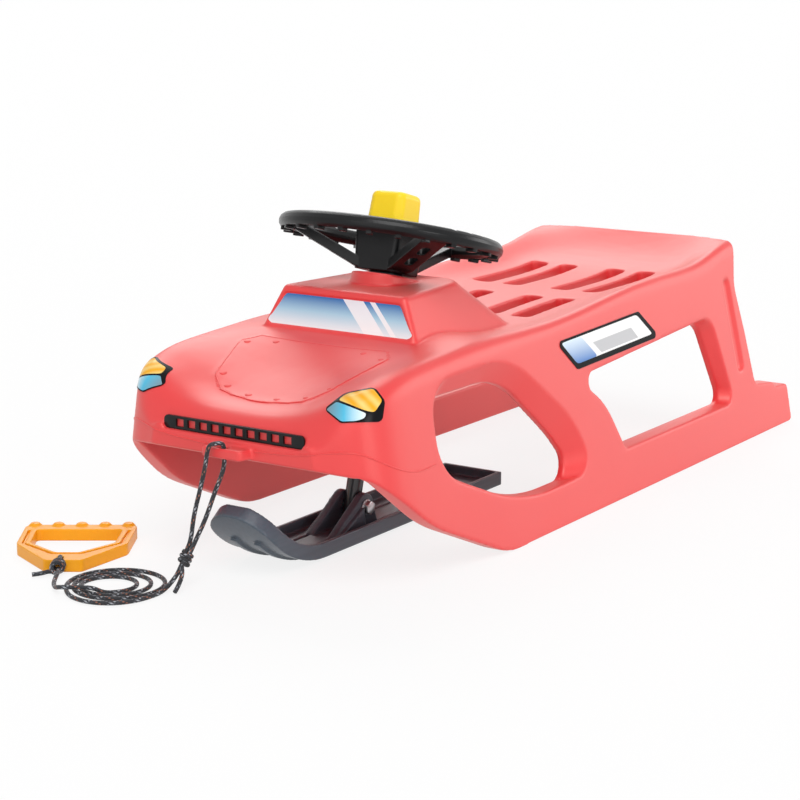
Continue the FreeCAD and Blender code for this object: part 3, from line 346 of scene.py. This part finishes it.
# The panel's cut edge is up to 0.8 mm short of this line in places, so only the rays that hit are kept.
bead_line = []
for start, end in zip(panel_edge, panel_edge[1:] + panel_edge[:1]):
    for k in range(POINTS_ON_EDGE):
        spot = Vector(start).lerp(Vector(end), k / POINTS_ON_EDGE)
        spot = PANEL_MIDDLE.lerp(spot, BEAD_INSET)
        found, top, normal, _ = panel.ray_cast(Vector((*spot, RAYS_FROM)), DOWN)
        if found:
            bead_line.append(top - normal * BEAD_SUNK)
bead = ridge("hood_panel_bead", bead_line + bead_line[:1], BEAD_RADIUS)
fit(bead, "sled", "shell_red", shell_red)

RIVET_RADIUS = 0.0040
RIVET_RISE = 0.0009
HALF_MOON_CUT = (0, 1, 0.35)
rivet_half = [(0.056, -0.329), (0.086, -0.340), (0.068, -0.404), (0.050, -0.419), (0.018, -0.425)]
bpy.ops.object.select_all(action="DESELECT")
bpy.ops.mesh.primitive_uv_sphere_add(segments=20, ring_count=10, radius=RIVET_RADIUS)
rivet = bpy.context.object
bpy.ops.object.mode_set(mode="EDIT")
bpy.ops.mesh.select_all(action="SELECT")
bpy.ops.transform.resize(value=(1, 1, RIVET_RISE / RIVET_RADIUS))
bpy.ops.mesh.bisect(plane_co=(0, 0, 0), plane_no=HALF_MOON_CUT, use_fill=True, clear_outer=True)
bpy.ops.object.mode_set(mode="OBJECT")
copies = []
for side in (1, -1):
    for x, y in rivet_half:
        _, spot, normal, _ = panel.ray_cast(Vector((side * x, y, RAYS_FROM)), DOWN)
        copy = bpy.data.objects.new("rivet", rivet.data.copy())
        copy.data.transform(Matrix.Translation(spot) @ normal.to_track_quat("Z", "Y").to_matrix().to_4x4())
        bpy.context.collection.objects.link(copy)
        copies.append(copy)
bpy.data.objects.remove(rivet)
bpy.ops.object.select_all(action="DESELECT")
for copy in copies:
    copy.select_set(True)
bpy.context.view_layer.objects.active = copies[0]
bpy.ops.object.join()
rivets = bpy.context.object
rivets.name = "hood_rivets"
pick(rivets)
bpy.ops.object.shade_smooth_by_angle(angle=math.radians(40))
fit(rivets, "sled", "shell_red", shell_red)


# Films and the intake's insert: printed vinyl on the windscreen, lamps and left side, and a black
# moulded insert pressed into the slot across the bumper.


def band(tree, value, low, high):
    """One where a value lies between two limits, else nought."""
    above = add(tree, "Math", {0: value, 1: low}, operation="GREATER_THAN")
    below = add(tree, "Math", {0: value, 1: high}, operation="LESS_THAN")
    return add(tree, "Math", {0: above.outputs[0], 1: below.outputs[0]}, operation="MULTIPLY").outputs[0]


def inside(tree, flat, corners, margins, soft):
    """One inside an outline drawn clockwise, each edge moved in by its margin, with soft corners."""
    nearest = None
    for start, end, margin in zip(corners, corners[1:] + corners[:1], margins):
        edge = Vector((end[0] - start[0], end[1] - start[1])).normalized()
        inward = (edge.y, -edge.x, 0)
        reach = start[0] * edge.y - start[1] * edge.x + margin
        along = add(tree, "VectorMath", {0: flat, 1: inward}, operation="DOT_PRODUCT")
        gap = add(tree, "Math", {0: along.outputs["Value"], 1: reach}, operation="SUBTRACT").outputs[0]
        if nearest is not None:
            gap = add(tree, "Math", {0: nearest, 1: gap, 2: soft}, operation="SMOOTH_MIN").outputs[0]
        nearest = gap
    return add(tree, "Math", {0: nearest, 1: 0.0}, operation="GREATER_THAN").outputs[0]


def painted(tree, where, under, colour):
    """A colour laid over another where a field is one."""
    return add(tree, "Mix", {0: where, 6: under, 7: colour}, data_type="RGBA").outputs[2]


def finish_node(node, material):
    """Gives its finish to a CAD node whose shape stays as it is."""
    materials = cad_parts[node].data.materials
    materials.clear()
    materials.append(material)


# Windscreen: glossy vinyl printed as plain tinted glass, deep blue above and pale below, with two
# slanting white reflections.
WIDE_SHINE = (0.258, 0.284)
THIN_SHINE = (0.292, 0.299)
SHINE_SHARE = 0.8
screen_low, screen_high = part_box("windscreen_sticker")
glazing, tree, shader = finish_of("printed vinyl glazing", Roughness=0.18, IOR=1.48)
place = add(tree, "TexCoord", {})
axes = add(tree, "SeparateXYZ", {"Vector": place.outputs["Object"]})
height = add(tree, "MapRange", {"Value": axes.outputs["Z"], 1: screen_low.z, 2: screen_high.z,
                                3: 0.0, 4: 1.0})
tint = add(tree, "ValToRGB", {"Fac": height.outputs[0]})
tint.color_ramp.elements[0].position = 0.05
tint.color_ramp.elements[0].color = linear("eef6fa")
tint.color_ramp.elements[1].position = 0.95
tint.color_ramp.elements[1].color = linear("2f6fb4")
middle = tint.color_ramp.elements.new(0.5)
middle.color = linear("a9d3e8")
slant = add(tree, "Math", {0: axes.outputs["X"], 1: axes.outputs["Z"]}, operation="ADD")
wide = band(tree, slant.outputs[0], *WIDE_SHINE)
thin = band(tree, slant.outputs[0], *THIN_SHINE)
shine = add(tree, "Math", {0: wide, 1: thin}, operation="MAXIMUM")
shine = add(tree, "Math", {0: shine.outputs[0], 1: SHINE_SHARE}, operation="MULTIPLY")
colour = painted(tree, shine.outputs[0], tint.outputs["Color"], linear("ffffff"))
tree.links.new(colour, shader.inputs["Base Color"])
finish_node("windscreen_sticker", glazing)

# Lamps: the same vinyl, a black surround with an amber indicator above and a pale blue lens below,
# drawn in the flat axes of the lamp, across and up.
LAMP_AT = Vector((0.132, -0.452, 0.190))
lamp_out = Vector((0.57, -0.78, 0.26)).normalized()
lamp_across = Vector((-lamp_out.y, lamp_out.x, 0)).normalized()
lamp_up = lamp_out.cross(lamp_across)
amber_edge = [
    (-0.017, 0.0055), (-0.009, 0.0125), (0.018, 0.0170),
    (0.027, 0.0045), (0.019, -0.0075), (0.011, -0.0068),
]
lens_edge = [
    (-0.030, -0.003), (-0.019, 0.0050), (0.011, -0.0078),
    (0.0095, -0.0125), (0.000, -0.0166), (-0.014, -0.0170),
]
lamp_print, tree, shader = finish_of("printed vinyl lamp", Roughness=0.2, IOR=1.48,
                                     Specular_IOR_Level=0.1)
place = add(tree, "TexCoord", {})
axes = add(tree, "SeparateXYZ", {"Vector": place.outputs["Object"]})
out = add(tree, "Math", {0: axes.outputs["X"]}, operation="ABSOLUTE")
near_side = add(tree, "CombineXYZ", {"X": out.outputs[0], "Y": axes.outputs["Y"], "Z": axes.outputs["Z"]})
from_middle = add(tree, "VectorMath", {0: near_side.outputs[0], 1: LAMP_AT}, operation="SUBTRACT")
across = add(tree, "VectorMath", {0: from_middle.outputs[0], 1: lamp_across}, operation="DOT_PRODUCT")
up = add(tree, "VectorMath", {0: from_middle.outputs[0], 1: lamp_up}, operation="DOT_PRODUCT")
flat = add(tree, "CombineXYZ", {"X": across.outputs["Value"], "Y": up.outputs["Value"]}).outputs[0]
amber_field = inside(tree, flat, amber_edge, [0.0006] * 6, 0.004)
lens_field = inside(tree, flat, lens_edge, [0.0016, 0.0004, 0.0004, 0.0004, 0.0014, 0.0014], 0.003)
ribs = add(tree, "TexWave", {"Vector": flat, "Scale": 42.0, "Distortion": 0.6}, bands_direction="DIAGONAL")
warm = add(tree, "Mix", {0: ribs.outputs["Fac"], 6: linear("f6b02c"), 7: linear("fbd278")}, data_type="RGBA")
pale = add(tree, "MapRange", {"Value": across.outputs["Value"], 1: -0.026, 2: 0.008, 3: 0.0, 4: 1.0})
cool = add(tree, "ValToRGB", {"Fac": pale.outputs[0]})
cool.color_ramp.elements[0].color = linear("7f9aa6")
cool.color_ramp.elements[1].color = linear("e4f4f8")
cool.color_ramp.elements.new(0.45).color = linear("5cc0e2")
colour = painted(tree, lens_field, linear("101114"), cool.outputs["Color"])
colour = painted(tree, amber_field, colour, warm.outputs[2])
tree.links.new(colour, shader.inputs["Base Color"])
for side in ("left", "right"):
    finish_node(f"{side}_lamp_sticker", lamp_print)

# Side label: printed vinyl stuck on the left side, a black frame round plain white, blue and grey
# fields, drawn along and up the side.
label_edge = [(-0.101, 0.197), (0.095, 0.203), (0.140, 0.167), (-0.061, 0.161)]
blue_edge = [(-0.101, 0.197), (-0.050, 0.1986), (-0.006, 0.1626), (-0.061, 0.161)]
grey_edge = [(-0.021, 0.1850), (0.072, 0.1878), (0.087, 0.1740), (-0.004, 0.1712)]
label_print, tree, shader = finish_of("printed vinyl label", Roughness=0.3, IOR=1.48,
                                      Specular_IOR_Level=0.05)
place = add(tree, "TexCoord", {})
axes = add(tree, "SeparateXYZ", {"Vector": place.outputs["Object"]})
flat = add(tree, "CombineXYZ", {"X": axes.outputs["Y"], "Y": axes.outputs["Z"]}).outputs[0]
white_field = inside(tree, flat, label_edge, [0.0026, 0.0060, 0.0062, 0.0050], 0.006)
blue_field = inside(tree, flat, blue_edge, [0.0026, 0.0, 0.0062, 0.0050], 0.006)
grey_field = inside(tree, flat, grey_edge, [0.0] * 4, 0.002)
sky = add(tree, "MapRange", {"Value": axes.outputs["Z"], 1: 0.167, 2: 0.195, 3: 0.0, 4: 1.0})
blue = add(tree, "Mix", {0: sky.outputs[0], 6: linear("5a86c6"), 7: linear("dcebf6")}, data_type="RGBA")
colour = painted(tree, white_field, linear("0d0d0f"), linear("f4f4f4"))
colour = painted(tree, blue_field, colour, blue.outputs[2])
colour = painted(tree, grey_field, colour, linear("c6c7c9"))
tree.links.new(colour, shader.inputs["Base Color"])
finish_node("side_label", label_print)

# Injection-moulded polypropylene, spark-eroded mould: near black, with a fine grain.
GRAIN_SIZE = 0.0009
SMALL_EDGE = 0.0005
black_pp, tree, shader = finish_of("grained black polypropylene", Roughness=0.27, IOR=1.49,
                                   Specular_IOR_Level=0.25)
mottled(tree, shader, noise(tree, 60.0, 4.0), "0b0b0c", "151618")
grained(tree, shader, noise(tree, 1 / GRAIN_SIZE, 2.0), 0.2, 0.0002)
fit(eased("intake_insert", "grille_insert", SMALL_EDGE), "sled", "grille_black", black_pp, "grille_insert")


# Column: a painted steel rod, tapped at its top and drilled at its foot, in two flanged bushes, with a
# collar below the lower bush that keeps it from lifting out.
PAINT_PEEL = 0.0025
black_paint, tree, shader = finish_of("black stove enamel", Roughness=0.3, IOR=1.5, Coat_Weight=0.3)
peel = noise(tree, 1 / PAINT_PEEL, 2.0)
mottled(tree, shader, peel, "1d2023", "26292d")
grained(tree, shader, peel, 0.15, 0.0002)
column = eased("column", "steering_column", width=0.0006)
fit(column, "steering", "column_black", black_paint, "steering_column")
collar = eased("collar", "column_collar", width=0.0008)
fit(collar, "steering", "wheel_black", black_pp, "column_collar")
for end in ("upper", "lower"):
    bush = eased(f"{end}_bush", f"{end}_column_bush", SMALL_EDGE)
    fit(bush, "sled", "bush_black", black_pp, f"{end}_column_bush")


# Steering wheel: one black moulding with three slotted spokes, a rim that is ribbed below and
# notched for the fingers left and right, screwed on the column's end.
WHEEL_FACES_KEPT = 0.6
wheel = moulded("wheel", "steering_wheel", fineness=8, passes=3)
apply_modifier(wheel, "DECIMATE", ratio=WHEEL_FACES_KEPT)
bpy.ops.object.shade_smooth()
fit(wheel, "steering", "wheel_black", black_pp, "steering_wheel")


# Screw and bolt: zinc-plated steel with fine, uneven brightness. The screw holds the wheel on the column,
# and the bolt, with a washer at each end and a nut, holds the ski to the column's foot.
FINE_EDGE = 0.0003
zinc, tree, shader = finish_of("zinc-plated steel", Metallic=1.0)
spangle = noise(tree, 700.0, 3.0)
mottled(tree, shader, spangle, "b4b6b8", "d8dadc")
dull = add(tree, "MapRange", {"Value": spangle, 3: 0.25, 4: 0.45})
tree.links.new(dull.outputs[0], shader.inputs["Roughness"])
fit(eased("hub_screw", "wheel_screw", FINE_EDGE), "steering", "zinc_steel", zinc, "wheel_screw")
for node in ("ski_bolt", "ski_nut", "left_ski_washer", "right_ski_washer"):
    fit(eased(node + "_plated", node, FINE_EDGE), "ski", "zinc_steel", zinc, node)


# Horn: a soft yellow cap held in the hub by a screwed ring, on a rubber squeaker bellows that stands
# along the column below the cap, in its rest shape.
HORN_PEEL = 0.0012
horn_yellow, tree, shader = finish_of(
    "soft yellow vinyl", Roughness=0.36, IOR=1.53, Specular_IOR_Level=0.3,
    Subsurface_Weight=0.08, Subsurface_Radius=(0.006, 0.004, 0.001))
peel = noise(tree, 1 / HORN_PEEL, 2.0)
mottled(tree, shader, peel, "fdd316", "ffe128")
grained(tree, shader, peel, 0.1, 0.0002)
horn = moulded("horn_button", "horn_cap", fineness=6, passes=4)
fit(horn, "horn", "horn_yellow", horn_yellow, "horn_cap")
fit(eased("cap_ring", "horn_ring", SMALL_EDGE), "steering", "wheel_black", black_pp, "horn_ring")

# Squeaker rubber: dark grey, dull, with a bloom that pales it in patches.
rubber, tree, shader = finish_of("squeaker rubber", Roughness=0.75, IOR=1.52)
mottled(tree, shader, noise(tree, 160.0, 3.0), "2b2b2c", "434344")
bellows = eased("squeaker_bellows", "horn_bellows", FINE_EDGE)
fit(bellows, "steering", "bellows_rubber", rubber, "horn_bellows")
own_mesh(bellows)


# Front ski: one slate-grey moulding with raised edges, two keels below and twin gusseted ears, held
# to the column by a bolt with washers and a nut.
STREAK_WIDTH = 0.004
STREAK_LONG = 0.12
slate, tree, shader = finish_of("slate-grey polyethylene", Roughness=0.35, IOR=1.5,
                                Specular_IOR_Level=0.35)
place = add(tree, "TexCoord", {})
drawn = add(tree, "Mapping", {"Vector": place.outputs["Object"],
                              "Scale": (1 / STREAK_WIDTH, 1 / STREAK_LONG, 1 / STREAK_WIDTH)})
streak = add(tree, "TexNoise", {"Vector": drawn.outputs[0], "Scale": 1.0, "Detail": 4.0})
mottled(tree, shader, streak.outputs["Fac"], "444d57", "56606b")
grained(tree, shader, noise(tree, 1 / GRAIN_SIZE, 2.0), 0.15, 0.0002)
ski = moulded("ski", "front_ski", fineness=8, passes=3)
fit(ski, "ski", "ski_grey", slate, "front_ski")


# Pull cord: braided polyester round a core, black with flecks of colour, 4.4 mm thick. It loops
# through the lug, is knotted in front of the bumper and lies on the floor in loose turns.
CORD_RADIUS = 0.0022
STRANDS = 8
STRAND_WIDTH = 2 * math.pi * CORD_RADIUS / STRANDS
STRAND_LAY = 1.8 * STRAND_WIDTH
RING_STEP = 0.0006
RING_SIDES = 32
STRAND_RISE = 0.00022
STRAND_SUNK = 0.6


def even_steps(line, step):
    """The same line with its points a steady step apart."""
    spaced = [line[0]]
    left = step
    for start, end in zip(line, line[1:]):
        span = (end - start).length
        while span > 0 and left <= span:
            spaced.append(start.lerp(end, left / span))
            left += step
        left -= span
    return spaced + [line[-1]]


def strand_rise(turn, along):
    """Height of a plaited surface: strands of two hands pass over and under one another."""
    one = turn * STRANDS + along / STRAND_LAY
    other = turn * STRANDS - along / STRAND_LAY
    over = (math.floor(one) + math.floor(other)) % 2 == 0
    crown = math.sin(math.pi * ((one if over else other) % 1))
    return STRAND_RISE * (crown - STRAND_SUNK)


def braided(name, lines):
    """Closed braided tubes along the given lines, as one piece with a map in strands."""
    corners, faces, maps = [], [], []
    for line in lines:
        rings = even_steps(line, RING_STEP)
        side = (rings[1] - rings[0]).orthogonal().normalized()
        first = len(corners)
        for i, middle in enumerate(rings):
            ahead = (rings[min(i + 1, len(rings) - 1)] - rings[max(i - 1, 0)]).normalized()
            side = (side - ahead * side.dot(ahead)).normalized()
            other = ahead.cross(side)
            for j in range(RING_SIDES):
                turn = j / RING_SIDES
                reach = CORD_RADIUS + strand_rise(turn, i * RING_STEP)
                angle = 2 * math.pi * turn
                corners.append(middle + (side * math.cos(angle) + other * math.sin(angle)) * reach)
        for i in range(len(rings) - 1):
            for j in range(RING_SIDES):
                a, b = first + i * RING_SIDES + j, first + i * RING_SIDES + (j + 1) % RING_SIDES
                faces.append((a, b, b + RING_SIDES, a + RING_SIDES))
                low, high = j / RING_SIDES * STRANDS, (j + 1) / RING_SIDES * STRANDS
                near, far = i * RING_STEP / STRAND_LAY, (i + 1) * RING_STEP / STRAND_LAY
                maps += [(low, near), (high, near), (high, far), (low, far)]
        last = first + (len(rings) - 1) * RING_SIDES
        faces.append(tuple(first + j for j in reversed(range(RING_SIDES))))
        faces.append(tuple(last + j for j in range(RING_SIDES)))
        maps += [(0, 0)] * (2 * RING_SIDES)
    mesh = bpy.data.meshes.new(name)
    mesh.from_pydata(corners, [], faces)
    layer = mesh.uv_layers.new(name="strands")
    for spot, value in zip(layer.data, maps):
        spot.uv = value
    mesh.shade_smooth()
    piece = bpy.data.objects.new(name, mesh)
    bpy.context.collection.objects.link(piece)
    return piece


# Braided polyester: the strand on top at each crossing of the plait shows its own yarn, most of them
# black, four grey and one a dull orange tracer; matt, with a soft nap at its edges.
cord_black, tree, shader = finish_of("braided polyester", Roughness=0.7, IOR=1.45, Sheen_Weight=0.2)
place = add(tree, "UVMap", {}, uv_map="strands")
axes = add(tree, "SeparateXYZ", {"Vector": place.outputs["UV"]})
right = add(tree, "Math", {0: axes.outputs["X"], 1: axes.outputs["Y"]}, operation="ADD")
left = add(tree, "Math", {0: axes.outputs["X"], 1: axes.outputs["Y"]}, operation="SUBTRACT")
cell_a = add(tree, "Math", {0: right.outputs[0]}, operation="FLOOR")
cell_b = add(tree, "Math", {0: left.outputs[0]}, operation="FLOOR")
both = add(tree, "Math", {0: cell_a.outputs[0], 1: cell_b.outputs[0]}, operation="ADD")
under = add(tree, "Math", {0: both.outputs[0], 1: 2.0}, operation="FLOORED_MODULO")
on_top = add(tree, "Mix", {0: under.outputs[0], 2: cell_a.outputs[0], 3: cell_b.outputs[0]},
             data_type="FLOAT")
strand = add(tree, "Math", {0: on_top.outputs[0], 1: float(STRANDS)}, operation="FLOORED_MODULO")
numbered = add(tree, "Math", {0: under.outputs[0], 1: float(STRANDS), 2: strand.outputs[0]},
               operation="MULTIPLY_ADD")
share = add(tree, "Math", {0: numbered.outputs[0], 1: 2.0 * STRANDS}, operation="DIVIDE")
yarn = add(tree, "ValToRGB", {"Fac": share.outputs[0]})
yarn.color_ramp.interpolation = "CONSTANT"
yarn.color_ramp.elements[0].color = linear("1b1c20")
yarn.color_ramp.elements[1].position = 0.84
yarn.color_ramp.elements[1].color = linear("1d1e23")
for start, colour in ((0.15, "34363c"), (0.28, "a0a3a9"), (0.34, "1c1d22"),
                      (0.53, "8c5a48"), (0.59, "24262b"), (0.78, "6d7077")):
    yarn.color_ramp.elements.new(start).color = linear(colour)
tree.links.new(yarn.outputs["Color"], shader.inputs["Base Color"])

loop_points = [
    (-0.0212, -0.5268, 0.0307), (-0.0220, -0.5238, 0.0359), (-0.0204, -0.5173, 0.0471),
    (-0.0210, -0.5120, 0.0700), (-0.0170, -0.5050, 0.0980), (-0.0125, -0.5017, 0.1220),
    (-0.0095, -0.5027, 0.1365), (-0.0075, -0.5000, 0.1425), (-0.0008, -0.4886, 0.1425),
    (0.0000, -0.4882, 0.1340), (0.0000, -0.4882, 0.1168), (-0.0040, -0.4980, 0.0960),
    (-0.0090, -0.5080, 0.0680), (-0.0150, -0.5177, 0.0465), (-0.0166, -0.5242, 0.0354),
    (-0.0180, -0.5272, 0.0302),
]
run_points = [
    (-0.0214, -0.5270, 0.0305), (-0.0222, -0.5299, 0.0255), (-0.0238, -0.5364, 0.0144),
    (-0.0270, -0.5520, 0.0027), (-0.0260, -0.5730, 0.0027), (-0.0310, -0.5940, 0.0027),
    (-0.0450, -0.6110, 0.0027), (-0.0660, -0.6195, 0.0027), (-0.0880, -0.6170, 0.0027),
    (-0.1040, -0.6078, 0.0027),
]
lead_points = [
    (-0.0713, -0.5894, 0.0027), (-0.0781, -0.5964, 0.0085), (-0.0899, -0.6062, 0.0098),
    (-0.1068, -0.6135, 0.0088), (-0.1220, -0.6050, 0.0034), (-0.1350, -0.5930, 0.0028),
    (-0.1446, -0.5782, 0.0054), (-0.1519, -0.5674, 0.0054), (-0.1560, -0.5620, 0.0060),
]

# Loose turns: half circles of falling radius that meet on one line, each a step further in.
COIL_AT = Vector((-0.114, -0.598, 0.0027))
COIL_TURN = math.radians(45.6)
COIL_RADII = [0.0490, 0.0455, 0.0385, 0.0350, 0.0280, 0.0245]
POINTS_IN_HALF_TURN = 6
CONTROL_REACH = 1.02
coil_row = Vector((math.cos(COIL_TURN), math.sin(COIL_TURN), 0))
coil_points = []
place_on_row = 0.0
for i, radius in enumerate(COIL_RADII):
    forward = 1 if i % 2 == 0 else -1
    middle = COIL_AT + coil_row * (place_on_row + forward * radius)
    start = COIL_TURN + (math.pi if forward > 0 else 0)
    count = POINTS_IN_HALF_TURN if i < len(COIL_RADII) - 1 else POINTS_IN_HALF_TURN // 2
    for k in range(count):
        angle = start - math.pi * (k + 0.5) / POINTS_IN_HALF_TURN
        coil_points.append(middle + Vector((math.cos(angle), math.sin(angle), 0)) * radius * CONTROL_REACH)
    place_on_row += 2 * forward * radius

WRAP_TURNS = 2.75
POINTS_IN_WRAP = 12


def wraps(middle, along, radius, long, start):
    """Control points of a cord that winds round its own strands."""
    along = Vector(along).normalized()
    side = along.orthogonal().normalized()
    other = along.cross(side)
    count = round(WRAP_TURNS * POINTS_IN_WRAP)
    points = []
    for k in range(count + 1):
        angle = start + 2 * math.pi * k / POINTS_IN_WRAP
        around = side * math.cos(angle) + other * math.sin(angle)
        points.append(Vector(middle) + along * long * (k / count - 0.5) + around * radius)
    return points


knot_tail = [(-0.0166, -0.5355, 0.0170), (-0.0156, -0.5450, 0.0060), (-0.0150, -0.5500, 0.0032)]
knot_wraps = wraps(middle=(-0.020, -0.527, 0.0305), along=(-0.12, -0.5, -0.857),
                   radius=0.0049, long=0.0125, start=0.6)
bumper_knot = braided("bumper_knot", [smooth_line(knot_wraps + knot_tail)])
fit(bumper_knot, "sled", "cord_black", cord_black, "rope_knot")

bight = [
    (-0.1580, -0.5610, 0.0128), (-0.1640, -0.5528, 0.0139), (-0.1672, -0.5482, 0.0130),
    (-0.1676, -0.5476, 0.0084), (-0.1668, -0.5488, 0.0036), (-0.1632, -0.5540, 0.0028),
    (-0.1580, -0.5610, 0.0036),
]
handle_tail = [(-0.1600, -0.5720, 0.0050), (-0.1640, -0.5790, 0.0036), (-0.1710, -0.5860, 0.0029)]
tip_wraps = wraps(middle=(-0.1569, -0.5635, 0.00836), along=(0.558, -0.83, 0),
                  radius=0.0056, long=0.0115, start=2.2)
tip_knot = braided("handle_knot_and_bight", [smooth_line(tip_wraps + handle_tail), smooth_line(bight)])
fit(tip_knot, "sled", "cord_black", cord_black, "handle_knot", "handle_bight")

loop_line = smooth_line(loop_points)
tow_loop = braided("tow_loop", [loop_line])
fit(tow_loop, "sled", "cord_black", cord_black, "rope_loop")
long_line = smooth_line(run_points + coil_points + lead_points)
long_cord = braided("braided_cord", [long_line])
fit(long_cord, "sled", "cord_black", cord_black, "pull_cord", "cord_coil", "handle_lead")


# Pull handle: a flat orange-yellow moulding with five finger bumps on its bar, channelled arms and a
# notched tip that the cord is tied through.
HANDLE_PEEL = 0.0014
handle_orange, tree, shader = finish_of(
    "orange-yellow polypropylene", Roughness=0.36, IOR=1.49, Specular_IOR_Level=0.3,
    Subsurface_Weight=0.06, Subsurface_Radius=(0.008, 0.004, 0.001))
peel = noise(tree, 1 / HANDLE_PEEL, 2.0)
mottled(tree, shader, peel, "f09e10", "f5a91a")
grained(tree, shader, peel, 0.1, 0.0002)
handle = moulded("grip", "pull_handle", fineness=7, passes=4)
fit(handle, "sled", "handle_yellow", handle_orange, "pull_handle")
